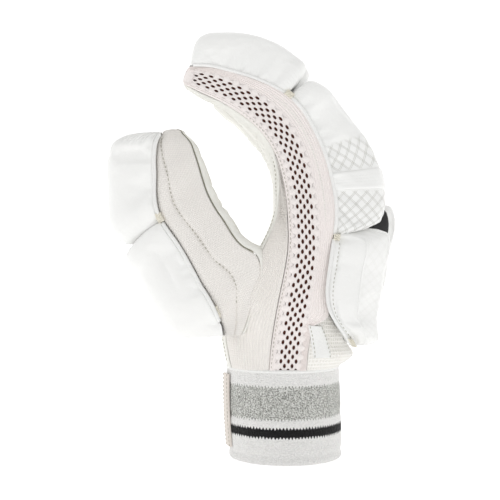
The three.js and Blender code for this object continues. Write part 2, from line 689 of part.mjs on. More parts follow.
show("cuff", cuffTube(), knit);
show("cuff_tape", cuffTape(), cotton);
show("palm_leather", palmLeather().subtract(thumbForm), palmSkin);
show("rib_panel", ribPanel().subtract(thumbForm), cotton);
show("mesh_strip", meshStrip(), netting);
show("back_panel", backPanel(), cotton);
show("outer_side", outerSide(), cotton);
fingers.slice(1).forEach((f, i) => show(`fourchette_${i + 1}`, fourchette(fingers[i], f), cotton));
for (const [name, panel] of Object.entries(thumbPanels())) {
  show(name, panel.subtract(handHollow), name === "thumb_grip" ? palmSkin : cotton);
}
for (const f of fingers) {
  show(f.name + "_front", fingerFront(f), palmSkin);
  show(f.name + "_back", fingerBack(f), cotton);
  const shapes = fingerPads(f);
  for (const [name, shape] of Object.entries(shapes)) show(name, pad(f.limb, shape, sidePlaces), leather);
  show(f.name + "_band", padBand(f, shapes[f.name + "_mid_pad"]), leather);
  if (f.name === "middle") show("knuckle_inset", knuckleInset(f, shapes.middle_hand_pad), blackLeather);
}
const thumbPadHalf = thumbWidth / 2 - padInset;
const thumbPad = (rows, from, to) =>
  pad(thumb, { rows, outline: roundOutline, from, to, half: thumbPadHalf }, thumbPlaces);
show("thumb_base_pad", thumbPad(thumbBaseRows, thumbPads.foot, thumbPads.joint), leather);
show("thumb_tip_pad", thumbPad(thumbTipRows, thumbPads.joint + thumbPads.gap, thumbPads.top), leather);
show(
  "label_tab",
  sidePanel(sameLimb(hand), {
    side: -1,
    places: spread(tab.from, tab.to, 2),
    heights: (v, s) => spread(tab.low * s.back, tab.high * s.back, 2),
    wall: tabWall,
    lift: seamGap,
  }),
  woven,
);

export default glove;
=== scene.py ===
import math
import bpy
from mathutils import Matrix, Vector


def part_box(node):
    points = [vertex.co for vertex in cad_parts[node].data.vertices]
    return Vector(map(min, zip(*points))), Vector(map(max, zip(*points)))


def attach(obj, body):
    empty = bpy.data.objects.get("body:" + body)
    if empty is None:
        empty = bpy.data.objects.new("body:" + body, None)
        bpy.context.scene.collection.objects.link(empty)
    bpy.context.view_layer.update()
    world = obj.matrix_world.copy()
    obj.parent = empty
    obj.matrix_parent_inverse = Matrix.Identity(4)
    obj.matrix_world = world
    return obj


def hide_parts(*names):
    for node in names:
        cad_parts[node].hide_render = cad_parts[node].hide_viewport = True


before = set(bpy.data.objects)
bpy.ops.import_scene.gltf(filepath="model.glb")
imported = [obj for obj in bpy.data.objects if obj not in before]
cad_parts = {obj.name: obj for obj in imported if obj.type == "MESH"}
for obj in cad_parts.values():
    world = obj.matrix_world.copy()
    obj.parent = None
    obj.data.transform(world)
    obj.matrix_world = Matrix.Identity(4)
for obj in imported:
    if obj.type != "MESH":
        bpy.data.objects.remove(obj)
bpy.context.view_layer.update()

from types import SimpleNamespace

import bmesh
import bpy
import numpy as np
from mathutils import Vector

bl_info = {
    "name": "Batting glove",
    "version": (1, 0, 0),
    "blender": (4, 5, 0),
    "location": "3D View > Sidebar > Glove",
    "description": "Builds a padded cricket batting glove piece by piece",
    "category": "Add Mesh",
}

MM = 0.001
BODY = "root"
ROLL_IN = 0.0009  # how far in from its edge a panel is turned under
OVERLAP = 0.0016  # how deep a panel runs on inside the limb that it is sewn to
JOIN_EASE = 0.02  # the share of the reach over which two joined panels come apart
RIDGE_PITCH = 0.0016  # the fine ridges beside the mesh
RIB_FADE = 0.002  # how far in from a panel's edge its ribs reach their full height


def linear(hex_colour):
    """An sRGB hex colour as the linear values that a shader takes."""
    channels = [int(hex_colour[i:i + 2], 16) / 255 for i in (1, 3, 5)]
    return tuple(c / 12.92 if c <= 0.04045 else ((c + 0.055) / 1.055) ** 2.4 for c in channels)


def length(label, default, text):
    return bpy.props.FloatProperty(
        name=label, description=text, default=default, min=0, unit="LENGTH", precision=4
    )


def colour(label, default, text):
    return bpy.props.FloatVectorProperty(
        name=label, description=text, default=linear(default), subtype="COLOR", size=3, min=0, max=1
    )


class GloveSizes(bpy.types.PropertyGroup):
    cuff_height: length("Cuff height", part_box("cuff")[1].z, "Height of the knitted cuff")
    cuff_depth: length("Cuff depth", 2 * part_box("cuff")[1].x, "Cuff from the palm side to the back")
    cuff_width: length("Cuff width", 2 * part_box("cuff")[1].y, "Cuff from the thumb side to the other")
    cuff_wall: length("Cuff wall", 0.003, "Thickness of the knitted cuff")
    hand_reach: length("Hand reach", 0.198, "Wrist to the tip of the index finger, along the bend")
    hand_depth: length("Hand depth", 0.032, "Palm to back at the knuckles, without pads")
    finger_width: length("Finger width", 0.025, "Width of the index finger")
    finger_gap: length("Finger gap", 0.002, "Gap between two fingers")
    thumb_reach: length("Thumb reach", 0.122, "Root to tip of the thumb, along the bend")
    thumb_depth: length("Thumb depth", 0.030, "Depth of the thumb without pads")
    thumb_width: length("Thumb width", 0.030, "Width of the thumb")
    thumb_inset: length("Thumb inset", 0.003, "How far the thumb lies inside the knuckles' side")
    pad_rise: length("Pad rise", 0.030, "Height of a pad over its panel")
    panel_wall: length("Panel wall", 0.0014, "Thickness of leather and cotton")
    seam_gap: length("Seam gap", 0.0003, "Gap at a seam")
    mesh_width: length("Mesh width", 0.021, "Width of the mesh strip")
    mesh_wall: length("Mesh wall", 0.0014, "Thickness of the mesh strip")
    hole_pitch: length("Hole pitch", 0.0043, "Distance between holes in one row")
    row_pitch: length("Row pitch", 0.00275, "Distance between rows of holes")
    hole_width: length("Hole width", 0.0016, "Width of a hole in the mesh")
    hole_length: length("Hole length", 0.0026, "Length of a hole in the mesh")
    rib_pitch: length("Rib pitch", 0.0017, "Distance between the ribs of the knitted cotton")
    stitch: length("Stitch", 0.0016, "Length of a stitch")
    stitch_pitch: length("Stitch pitch", 0.0024, "Distance from stitch to stitch")
    thread: length("Thread radius", 0.00022, "Radius of the sewing thread")
    piping: length("Piping radius", 0.0012, "Radius of the welt at the foot of a pad")
    quilt: length("Quilt pitch", 0.006, "Width of a quilted diamond")


class GloveColours(bpy.types.PropertyGroup):
    leather: colour("Pad leather", "#F5F5F3", "Smooth white leather of the pads")
    # The pressed lines' colour is painted shade of the quilted leather's grooves.
    quilt_groove_shade: colour("Quilting", "#B5B4A6", "Pressed lines of the quilted leather")
    palm: colour("Palm leather", "#EFEEE8", "Soft leather of the palm")
    cotton: colour("Cotton", "#F3EFEA", "Ribbed cotton of the side panels")
    waffle: colour("Waffle", "#F7F5F1", "White waffle knit beside the cuff")
    hollow: colour("Waffle hollows", "#E3E0D8", "Shaded hollows of the waffle knit")
    netting: colour("Mesh", "#F8F1EE", "Pinkish white mesh")
    # Painted shade: the hole walls and the sheet under the mesh are darkened to stand for the shade inside
    # the holes.
    core: colour("Mesh core", "#9A6A5C", "Reddish core of the mesh, inside its holes")
    shade: colour("Mesh inside", "#7A4A3C", "Dark layer under the mesh")
    knit: colour("Cuff", "#F4F3F1", "White knit of the cuff")
    heather: colour("Grey band, dark yarn", "#858680", "Dark flecks of the cuff's grey band")
    fleck: colour("Grey band, light yarn", "#DEDEDA", "Light flecks of the cuff's grey band")
    stripe: colour("Black stripe", "#060606", "Black stripe of the cuff and the black inset")
    thread: colour("Thread", "#B2B0A2", "Olive grey sewing thread")
    seam: colour("Heavy thread", "#8E8B7A", "Dark olive thread of the thumb's seam")
    trim: colour("Trim", "#F0EBDC", "Cream felt at the corners of the pads")
    tape: colour("Tape", "#E6DED6", "Beige tape of the cuff")
    floor: colour("Floor", "#FFFFFF", "Plain pale floor")


def table(columns, *rows):
    """A table as one array for each named column."""
    return {name: np.array(values, float) for name, values in zip(columns.split(), zip(*rows))}


# Sections of the hand and, past the crotch, of each finger. along: share of the reach.
# lean: degrees from upright towards the palm. wrist: 1 where the shares are of the cuff's size, else 0.
# palm, back: shares of the depth. half: share of the width. round: corner radius as a share of the
# thinner of palm and back. tip: share of the finger's own width.
HAND = table(
    "along lean wrist palm back half round tip",
    (0, 0, 1, 0.475, 0.495, 0.485, 0.95, 1),
    (0.04, -2, 1, 0.505, 0.6, 0.505, 0.9, 1),
    (0.09, -5, 1, 0.54, 0.55, 0.53, 0.8, 1),
    (0.2, -8, 0, 0.97, 0.69, 0.44, 0.6, 1),
    (0.333, -9, 0, 0.66, 0.59, 0.48, 0.5, 1),
    (0.46, -2, 0, 0.44, 0.61, 0.5, 0.5, 1),
    (0.56, 9, 0, 0.41, 0.54, 0.5, 0.5, 1),
    (0.65, 25, 0, 0.39, 0.5, 0.5, 0.45, 1),
    (0.735, 43, 0, 0.38, 0.5, 0.5, 0.45, 1),
    (0.82, 58, 0, 0.36, 0.4, 0.5, 0.5, 1),
    (0.9, 67, 0, 0.29, 0.31, 0.5, 0.55, 0.96),
    (0.96, 72, 0, 0.26, 0.26, 0.5, 0.6, 0.86),
    (1, 74, 0, 0.2, 0.2, 0.5, 0.6, 0.66),
)
THUMB = table(
    "along lean palm back half round",
    (0, 2, 0.17, 0.2, 0.22, 0.6),
    (0.15, 18, 0.63, 0.27, 0.38, 0.6),
    (0.22, 24, 0.95, 0.3, 0.45, 0.6),
    (0.28, 30, 1.05, 0.32, 0.48, 0.6),
    (0.35, 30, 0.88, 0.31, 0.5, 0.6),
    (0.52, 30, 0.79, 0.31, 0.5, 0.6),
    (0.66, 18, 0.73, 0.4, 0.49, 0.5),
    (0.8, 3, 0.65, 0.33, 0.48, 0.5),
    (0.9, 1, 0.52, 0.32, 0.44, 0.5),
    (0.96, 0, 0.4, 0.28, 0.38, 0.6),
    (1, 0, 0.22, 0.2, 0.28, 0.7),
)
THUMB_ROOT = {"along": 0.09, "drop": 0.78}
# reach and curl are shares of the index finger's. knuckle is where the pad on the hand ends,
# bulk the height of that pad.
FINGERS = {
    "index": {"width": 1, "reach": 1, "curl": 1, "knuckle": 0.392, "bulk": 1},
    "middle": {"width": 1.04, "reach": 1.02, "curl": 0.91, "knuckle": 0.45, "bulk": 1.14},
    "ring": {"width": 1, "reach": 0.97, "curl": 0.87, "knuckle": 0.435, "bulk": 1.12},
    "little": {"width": 0.88, "reach": 0.86, "curl": 0.85, "knuckle": 0.38, "bulk": 0.95},
}
CROTCH = 0.52
PART = {"from": 0.445, "to": 0.53}  # where the hand parts into fingers
DOME = 0.022  # the closed end of a finger, past 1
# The mesh strip: the place of its middle and half its width, as shares of its width at the cuff.
STRIP = table(
    "along centre half",
    (0, 0.13, 0.5), (0.09, 0.17, 0.5), (0.2, 0.22, 0.5), (0.333, 0.24, 0.48), (0.46, 0.1, 0.46),
    (0.56, 0.02, 0.45), (0.65, 0, 0.44), (0.82, 0, 0.42), (0.9, 0, 0.38), (0.97, 0, 0.32), (1, 0, 0.26),
)
RIB = {"from": 0.5, "to": 0.66, "stop": 0.635}
# Where seams lie on a limb's sides, as shares of its depth towards the palm or the back.
SEAMS = {
    "palm": 0.93, "outer_palm": 0.55, "outer_back": 0.5, "finger_palm": 0.3, "finger_back": 0.4,
    "grip": 0.82, "nail": 0.95,
}

# Pads. u: share of the pad's length. rise, half: shares. slant: how far the top leads the foot.
PAD_COLUMNS = "u rise half slant"
TIP_PAD = table(
    PAD_COLUMNS,
    (0, 0.5, 0.86, 0), (0.04, 0.64, 0.97, 0), (0.16, 0.73, 1, 0), (0.36, 0.8, 1, 0), (0.6, 0.78, 1, 0),
    (0.8, 0.7, 0.98, 0), (0.93, 0.63, 0.93, 0.006), (1, 0.5, 0.82, 0.014),
)
MID_PAD = table(
    PAD_COLUMNS,
    (0, 0.5, 0.8, 0.02), (0.05, 0.77, 0.92, 0.02), (0.14, 0.89, 0.98, 0.01), (0.28, 0.95, 1, 0),
    (0.45, 0.93, 1, 0), (0.75, 0.68, 1, 0), (0.96, 0.55, 0.97, 0), (1, 0.48, 0.86, 0),
)
HAND_PAD = table(
    PAD_COLUMNS,
    (0, 0.32, 0.6, 0), (0.06, 0.56, 0.78, 0), (0.15, 0.74, 0.92, 0), (0.25, 0.88, 0.98, 0),
    (0.45, 1.05, 1, 0), (0.75, 1.08, 1, 0.008), (0.96, 1.06, 0.97, 0.032), (1, 0.98, 0.9, 0.038),
)
THUMB_BASE_PAD = table(
    PAD_COLUMNS,
    (0, 0.72, 0.7, -0.12), (0.09, 0.94, 0.86, -0.095), (0.2, 1, 0.95, -0.055), (0.45, 1.01, 1, 0),
    (0.75, 1.01, 1, -0.02), (0.95, 0.98, 0.98, -0.05), (1, 0.9, 0.9, -0.05),
)
THUMB_TIP_PAD = table(
    PAD_COLUMNS,
    (0, 0.7, 0.88, -0.05), (0.06, 0.86, 0.98, -0.045), (0.35, 0.91, 1, 0), (0.72, 0.88, 1, 0),
    (0.92, 0.74, 0.93, 0), (1, 0.5, 0.78, 0),
)
PADS = {"joint": 0.748, "top": 1.005, "foot": 0.095, "gap": 0.008, "inset": 0.0002}
THUMB_PADS = {"foot": 0.07, "joint": 0.622, "top": 1, "gap": 0.01}
# Half of a pad's section from its foot over the top, round or with an edge. y: share of the half width,
# d: share of the rise.
ROLL = table(
    "y d",
    (0.96, 0), (0.995, 0.1), (1.0, 0.3), (0.985, 0.5), (0.93, 0.7), (0.8, 0.87), (0.58, 0.965), (0.3, 1),
    (0, 1.01),
)
BEVEL = table(
    "y d",
    (0.97, 0), (1, 0.08), (1, 0.25), (1, 0.5), (0.985, 0.57), (0.93, 0.65), (0.74, 0.81), (0.56, 0.95),
    (0.48, 0.985), (0.25, 1.005), (0, 1.01),
)
BAND = {"from": 0.512, "to": 0.552}  # the strip of leather over each mid pad, as shares of the reach
QUILT_END = 0.618  # where the mid pads' quilting ends
# The black inset and the tab: from and to along the hand, low and high across it. The tape: the same along
# the cuff, and its two edges in degrees round it.
INSET = {"from": 0.393, "to": 0.447, "low": -0.7, "high": -0.35}
TAB = {"from": 0.04, "to": 0.14, "low": 0.4, "high": 0.66}
TAPE = {"from": 0.14, "to": 0.93, "start": 188, "end": 204}
# The bends of a finger's front and of the thumb's grip: place, depth and width of each crease.
FINGER_CREASES = [
    (0.585, 0.0005, 0.005), (0.645, 0.0007, 0.006), (0.69, 0.0005, 0.005), (0.735, 0.0008, 0.006),
    (0.78, 0.0005, 0.005), (0.83, 0.0006, 0.005),
]
THUMB_CREASES = [(0.5, 0.0006, 0.012), (0.57, 0.0007, 0.012), (0.63, 0.0005, 0.012), (0.72, 0.0004, 0.012)]
# The thumb's second seam: how far across its side panel it lies.
THUMB_SEAM = table(
    "along across", (0, 0.4), (0.2, 0.46), (0.35, 0.55), (0.6, 0.62), (0.8, 0.72), (0.98, 0.9),
)
KNIT_BANDS = [(0.262, 0.362), (0.452, 0.803)]  # the black and the grey band, as shares of the cuff
# Each lamp: its name, place, size and power.
LAMPS = [
    ("left", (-1.0, 0.0, 0.5), 0.6, 0.6),
    ("right", (1.0, 0.05, 0.4), 0.6, 0.5),
    ("top", (0.0, 0.1, 1.0), 0.8, 0.5),
]
TO_FINGER = (0.52, 0.55)  # where the mesh strip passes from the hand's side to the index finger's
TO_PADS = (0.13, 0.19)  # where its border starts to run on to the pads' foot
# Lines along both sides of each pad: what they are, how far across they lie and how high.
PAD_LINES = {
    "tip": [("binding", 0.995, 0.0001)],
    "mid": [("welt", 0.992, 0.0004)],
    "hand": [("seam", 0.875, 0.0), ("binding", 0.995, 0.0002)],
    "thumb": [("welt", 0.99, 0.0001), ("seam", 0.95, 0.0001)],
}
PAD_STEPS = {
    "tip": (0.0009, 0.0014), "mid": (0.0007, 0.0014), "hand": (0.0008, 0.0014), "thumb": (0.0009, 0.0015),
}
# Felt tufts: the finger, from and to along it, and from and to up the pads' side.
FELT = [
    ("index", 0.388, 0.404, -0.02, 0.2),
    ("index", PADS["joint"] - 0.006, PADS["joint"] + 0.012, -0.05, 0.16),
    ("index", 0.092, 0.115, -0.02, 0.16),
    ("thumb", 0.618, 0.655, -0.1, 0.12),
    ("thumb", 0.1, 0.16, -0.12, 0.12),
]


def smooth(xs, ys, x):
    """A smooth curve through a table's points, flat outside it."""
    x = np.clip(x, xs[0], xs[-1])
    slopes = np.gradient(ys, xs)
    i = np.clip(np.searchsorted(xs, x) - 1, 0, len(xs) - 2)
    span = xs[i + 1] - xs[i]
    t = (x - xs[i]) / span
    first = (2 * t**3 - 3 * t**2 + 1) * ys[i] + (t**3 - 2 * t**2 + t) * span * slopes[i]
    return first + (3 * t**2 - 2 * t**3) * ys[i + 1] + (t**3 - t**2) * span * slopes[i + 1]


def ramp(start, end, x):
    """0 before start, 1 after end, smooth between."""
    t = np.clip((x - start) / (end - start), 0, 1)
    return t * t * (3 - 2 * t)


class Limb:
    """A spine that leans towards the palm, with a rounded rectangle across it at each place."""

    STEP = 0.005
    BEYOND = 1.06

    def __init__(self, rows, depths, halves, start, reach, curl=1.0, stretch=1.0, facing=1, middle=0.0):
        self.rows, self.depths, self.halves = rows, depths, halves
        self.curl, self.facing, self.middle, self.reach = curl, facing, middle, reach
        places = np.arange(0, self.BEYOND, self.STEP)
        lean = self.lean(places + self.STEP / 2)
        steps = reach * self.STEP * np.where(places >= CROTCH, stretch, 1)
        self.places = np.append(places, self.BEYOND)
        self.x = start[0] - np.append(0, np.cumsum(np.sin(lean) * steps))
        self.z = start[1] + np.append(0, np.cumsum(np.cos(lean) * steps))

    def lean(self, v):
        degrees = np.interp(v, self.rows["along"], self.rows["lean"])
        return np.radians(degrees * np.where(degrees > 0, self.curl, 1))

    def section(self, v):
        """palm, back, half width and corner radius at v. Past 1 they shrink, which closes the tip."""
        along = self.rows["along"]
        close = np.sqrt(np.clip(1 - (np.maximum(v - 1, 0) / DOME) ** 2, 1e-6, 1))
        palm = smooth(along, self.rows["palm"] * self.depths, v) * close
        back = smooth(along, self.rows["back"] * self.depths, v) * close
        corner = smooth(along, self.rows["round"], v) * np.minimum(palm, back)
        return palm, back, smooth(along, self.halves, v) * close, corner

    def at(self, v, y, d):
        """The point that lies y across and d out of the spine at v."""
        lean = self.lean(v)
        x = np.interp(v, self.places, self.x) + self.facing * d * np.cos(lean)
        z = np.interp(v, self.places, self.z) + self.facing * d * np.sin(lean)
        return np.stack(np.broadcast_arrays(x, self.middle + y, z), axis=-1)


class Form:
    """The hand, its fingers and the thumb, from the sizes."""

    def __init__(self, s):
        self.s = s
        hand_width = s.finger_width * sum(f["width"] for f in FINGERS.values()) + 3 * s.finger_gap
        self.half_hand = hand_width / 2
        depths = np.where(HAND["wrist"] == 1, s.cuff_depth, s.hand_depth)
        widths = np.where(HAND["wrist"] == 1, s.cuff_width, hand_width)
        start = (-0.01 * s.cuff_depth, s.cuff_height + s.seam_gap)
        self.hand = Limb(HAND, depths, HAND["half"] * widths, start, s.hand_reach)
        self.fingers = {}
        edge = -hand_width / 2
        for name, f in FINGERS.items():
            half = f["width"] * s.finger_width / 2
            self.fingers[name] = Limb(
                HAND, depths, HAND["tip"] * half, start, s.hand_reach, f["curl"], f["reach"], 1, edge + half
            )
            edge += 2 * half + s.finger_gap
        v = THUMB_ROOT["along"]
        root = self.hand.at(v, 0, -THUMB_ROOT["drop"] * self.hand.section(v)[0])
        middle = -(hand_width / 2 - s.thumb_inset - s.thumb_width / 2)
        self.thumb = Limb(
            THUMB, s.thumb_depth, THUMB["half"] * s.thumb_width, (root[0], root[2]), s.thumb_reach,
            facing=-1, middle=middle,
        )

    def strip_low(self, v):
        return (smooth(STRIP["along"], STRIP["centre"] - STRIP["half"], v)) * self.s.mesh_width

    def strip_high(self, v):
        return (smooth(STRIP["along"], STRIP["centre"] + STRIP["half"], v)) * self.s.mesh_width

    def near_palm(self, v):
        """How far palmwards the leather's thumb-side edge lies: it climbs from the palm to the mesh."""
        climb = np.clip((v - RIB["from"]) / (RIB["to"] - RIB["from"]), 0, 1)
        palm = SEAMS["palm"] * self.hand.section(v)[0]
        return palm + (-self.strip_low(v) + self.s.seam_gap - palm) * climb

    def near_back(self, v):
        return self.strip_high(v) + self.s.seam_gap


def outline(half, depth, corner, q):
    """A point of a section, q from the middle of its face towards a side: y, d and the normal's y, d."""
    flat = half - corner
    turn = np.clip((q - flat) / corner, 0, np.pi / 2)
    y = np.where(q <= flat, q, flat + corner * np.sin(turn))
    down = np.maximum(q - flat - corner * np.pi / 2, 0)
    return y, depth - corner + corner * np.cos(turn) - down, np.sin(turn), np.cos(turn)


def reach_of(half, depth, corner, height):
    """How far the outline runs from the middle of a face to a height on its side."""
    straight = depth - corner
    turn = np.arccos(np.clip((height - straight) / corner, 0, 1))
    return half - corner + corner * turn + np.maximum(straight - height, 0)


def face_surface(limb, face, near, far):
    """A panel on the palm face (-1) or the back face (1), from w = 0 at its thumb-side edge to w = 1."""
    def surface(v, w, lift):
        palm, back, half, corner = limb.section(v)
        depth = palm if face < 0 else back
        low = -reach_of(half, depth, corner, near(v))
        q = low + (reach_of(half, depth, corner, far(v)) - low) * w
        y, d, ny, nd = outline(half, depth, corner, np.abs(q))
        return limb.at(v, np.sign(q) * (y + lift * ny), face * (d + lift * nd))
    return surface


def side_surface(limb, side, low, high):
    """A panel on a side, from w = 0 at the height low to w = 1 at high, round the corners if it has to."""
    def run(height, depth, corner):
        straight = depth - corner
        over = np.arcsin(np.clip((height - straight) / corner, 0, 1))
        return np.minimum(height, straight) + corner * over

    def surface(v, w, lift):
        palm, back, half, corner = limb.section(v)
        ends = []
        for h in (low(v), high(v)):
            ends.append(np.where(h < 0, -run(-h, palm, corner), run(h, back, corner)))
        s = ends[0] + (ends[1] - ends[0]) * w
        straight = np.where(s < 0, palm, back) - corner
        turn = np.maximum(np.abs(s) - straight, 0) / corner
        ny, nd = np.cos(turn), np.sin(turn)
        d = np.minimum(np.abs(s), straight) + (corner + lift) * nd
        y = half - corner + (corner + lift) * ny
        return limb.at(v, side * y, np.sign(s) * d)
    return surface


def squarer(limb):
    """The same limb with tighter corners, for a panel that is pulled straight to the foot of a pad."""
    def section(v):
        palm, back, half, corner = limb.section(v)
        return palm, back, half, corner * 0.35
    return SimpleNamespace(section=section, at=limb.at)


def blended(first, second, start, end):
    """One surface that turns into another between two places."""
    def surface(v, w, lift):
        share = ramp(start, end, v)[..., None]
        return first(v, w, lift) * (1 - share) + second(v, w, lift) * share
    return surface


def lobes(form, face, near, far, seam):
    """Four strips side by side over a face of the hand, which part into the fingers past the knuckles."""
    sizes = form.s
    names = list(FINGERS)
    edges = [-form.half_hand]
    for name in names:
        edges.append(edges[-1] + FINGERS[name]["width"] * sizes.finger_width + sizes.finger_gap)
    middles = [e - sizes.finger_gap / 2 for e in edges]
    surfaces = []
    for i, name in enumerate(names):
        limb = form.fingers[name]

        def on_hand(v, w, lift, i=i):
            palm, back, half, corner = form.hand.section(v)
            depth = palm if face < 0 else back
            grow = half / form.half_hand
            low = -reach_of(half, depth, corner, near(v)) if i == 0 else middles[i] * grow
            high = reach_of(half, depth, corner, far(v)) if i == 3 else middles[i + 1] * grow
            q = low + (high - low) * w
            y, d, ny, nd = outline(half, depth, corner, np.abs(q))
            return form.hand.at(v, np.sign(q) * (y + lift * ny), face * (d + lift * nd))

        def own(v, limb=limb):
            return seam * limb.section(v)[0 if face < 0 else 1]

        on_finger = face_surface(limb, face, near if i == 0 else own, far if i == 3 else own)
        surfaces.append(blended(on_hand, on_finger, PART["from"], PART["to"]))
    return surfaces


def quads_of(rows, columns, start=0):
    """The quads of a grid of points, numbered row by row."""
    i, j = np.meshgrid(np.arange(rows - 1), np.arange(columns - 1), indexing="ij")
    corner = i * columns + j
    return np.stack([corner, corner + 1, corner + columns + 1, corner + columns], -1).reshape(-1, 4) + start


def turned_in(w, width, ends=(1, 1)):
    """How far a panel drops beside its two sewn edges, where the edge is turned in."""
    low = np.clip(1 - w * width / ROLL_IN, 0, 1) * ends[0]
    high = np.clip(1 - (1 - w) * width / ROLL_IN, 0, 1) * ends[1]
    inside = np.maximum(low, high)
    return ROLL_IN * (1 - np.sqrt(1 - inside**2 * 0.98))


def across_of(width, step):
    """Places across a panel, step apart and closer at its turned edges."""
    edge = np.array([0, 0.2, 0.5, 1]) * ROLL_IN / width
    count = max(int(width / step), 3)
    return np.concatenate([edge, np.linspace(edge[-1], 1 - edge[-1], count)[1:-1], 1 - edge[::-1]])


def sheet(surface, places, width, long, wall, step=0.0012, relief=None, joined=None):
    """A panel with its thickness: outside, inside and edges. joined: up to these places its low and its
    high side are one with the panels beside it."""
    v, w = np.meshgrid(places, across_of(width, step), indexing="ij")
    gates = [1.0, 1.0]
    for side in (0, 1):
        if joined and joined[side]:
            gates[side] = ramp(joined[side], joined[side] + JOIN_EASE, v)
    drop = turned_in(w, width, gates)
    lift = -drop if relief is None else relief(v, w) - drop
    outside, inside = surface(v, w, lift), surface(v, w, -wall - 0.2 * drop)
    rows, columns = v.shape
    n = rows * columns
    ids = np.arange(n).reshape(rows, columns)
    starts = [np.searchsorted(places, joined[side]) if joined and joined[side] else 0 for side in (0, 1)]
    rims = [ids[starts[0]:, 0][::-1], ids[0], ids[starts[1]:, -1], ids[-1][::-1]]
    edges = [np.stack([r[:-1], r[1:], r[1:] + n, r[:-1] + n], -1) for r in rims]
    quads = np.concatenate([quads_of(rows, columns), quads_of(rows, columns, n)[:, ::-1], *edges])
    uv = np.tile(np.stack([w * width, v * long], -1).reshape(-1, 2) / MM, (2, 1))
    across = np.tile((w * width).reshape(-1), 2)
    inward = (0.5 - np.abs(w - 0.5)) * width
    gate = np.concatenate([np.clip(inward / RIB_FADE, 0, 1).reshape(-1), np.zeros(n)])
    points = np.concatenate([outside.reshape(-1, 3), inside.reshape(-1, 3)])
    return {"points": points, "quads": quads, "uv": uv, "across": across, "gate": gate}


def depth_inside(limb, points):
    """How deep points lie inside a limb's outline, negative outside it."""
    flat = points.reshape(-1, 3)
    places = np.linspace(0, 1, 120)
    axis = limb.at(places, 0.0, 0.0)
    nearest = np.argmin(((flat[:, None, (0, 2)] - axis[None, :, (0, 2)]) ** 2).sum(-1), axis=1)
    v = places[nearest]
    lean = limb.lean(v)
    off = flat - axis[nearest]
    d = limb.facing * (off[:, 0] * np.cos(lean) + off[:, 2] * np.sin(lean))
    along = -off[:, 0] * np.sin(lean) + off[:, 2] * np.cos(lean)
    palm, back, half, corner = limb.section(v)
    y = np.abs(flat[:, 1] - limb.middle)
    reach = np.where(d < 0, palm, back)
    past = np.stack([y - half + corner, np.abs(d) - reach + corner], -1)
    outside = np.linalg.norm(np.maximum(past, 0), axis=-1) + np.minimum(past.max(-1), 0) - corner
    beyond = np.where((nearest == 0) & (along < 0), -along, 0)
    return -np.maximum(outside, beyond)


def without(part, limb):
    """The part less its faces that lie deeper inside a limb than its seam allows."""
    hidden = depth_inside(limb, part["points"]) > OVERLAP
    part["quads"] = part["quads"][~hidden[part["quads"]].all(axis=1)]
    return part


def build(name, parts, finishes, sharp=50):
    """An object from its parts. Equal points are merged, and the faces turned to point outwards."""
    counts = np.cumsum([0] + [len(p["points"]) for p in parts])
    points = np.concatenate([p["points"] for p in parts])
    quads = np.concatenate([p["quads"] + start for p, start in zip(parts, counts)])
    uv = np.concatenate([p["uv"] for p in parts])
    mesh = bpy.data.meshes.new(name)
    mesh.from_pydata(points.tolist(), [], quads.tolist())
    mesh.uv_layers.new(name="surface").uv.foreach_set("vector", uv[quads.ravel()].ravel())
    for key in ("across", "gate", "quilt", "deep"):
        if all(key in p for p in parts):
            layer = mesh.attributes.new(key, "FLOAT", "POINT")
            layer.data.foreach_set("value", np.concatenate([p[key] for p in parts]).astype(np.float32))
    for finish in finishes:
        mesh.materials.append(finish_of(finish))
    work = bmesh.new()
    work.from_mesh(mesh)
    bmesh.ops.remove_doubles(work, verts=work.verts, dist=2e-6)
    bmesh.ops.dissolve_degenerate(work, edges=work.edges, dist=1e-7)
    bmesh.ops.delete(work, geom=[v for v in work.verts if not v.link_faces], context="VERTS")
    bmesh.ops.recalc_face_normals(work, faces=work.faces)
    work.to_mesh(mesh)
    work.free()
    mesh.polygons.foreach_set("use_smooth", np.ones(len(mesh.polygons), bool))
    mesh.set_sharp_from_angle(angle=math.radians(sharp))
    piece = bpy.data.objects.new(name, mesh)
    bpy.context.scene.collection.objects.link(piece)
    return piece


def finished(piece, slot, *nodes):
    """The piece rides on the glove's body and stands for its nodes. The argument slot is not used."""
    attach(piece, BODY)
    if nodes:
        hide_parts(*nodes)
    return piece


def add(tree, kind, settings=None, inputs=None):
    """A node with its settings, and its inputs by name or number: a value, a socket or a node."""
    node = tree.nodes.new(kind)
    for key, value in (settings or {}).items():
        setattr(node, key, value)
    for key, value in (inputs or {}).items():
        source = value.outputs[0] if isinstance(value, bpy.types.Node) else value
        if isinstance(source, bpy.types.NodeSocket):
            tree.links.new(source, node.inputs[key])
        else:
            node.inputs[key].default_value = source
    return node


def darker(tint, share):
    return (tint[0] * share, tint[1] * share, tint[2] * share, 1)


def mottle(tree, size, detail=3.0):
    """Irregular flecks of a real size in metres, from the object's own coordinates."""
    place = add(tree, "ShaderNodeTexCoord").outputs["Object"]
    scaled = add(tree, "ShaderNodeMapping", None, {"Vector": place, "Scale": (1 / size,) * 3})
    return add(tree, "ShaderNodeTexNoise", None, {"Vector": scaled, "Scale": 1.0, "Detail": detail})


def pebbled(tree, size):
    """Rounded cells of leather grain of a real size in metres, with creases between them."""
    place = add(tree, "ShaderNodeTexCoord").outputs["Object"]
    scaled = add(tree, "ShaderNodeMapping", None, {"Vector": place, "Scale": (1 / size,) * 3})
    return add(tree, "ShaderNodeTexVoronoi", {"feature": "SMOOTH_F1"}, {"Vector": scaled, "Scale": 1.0,
                                                                       "Smoothness": 0.6})


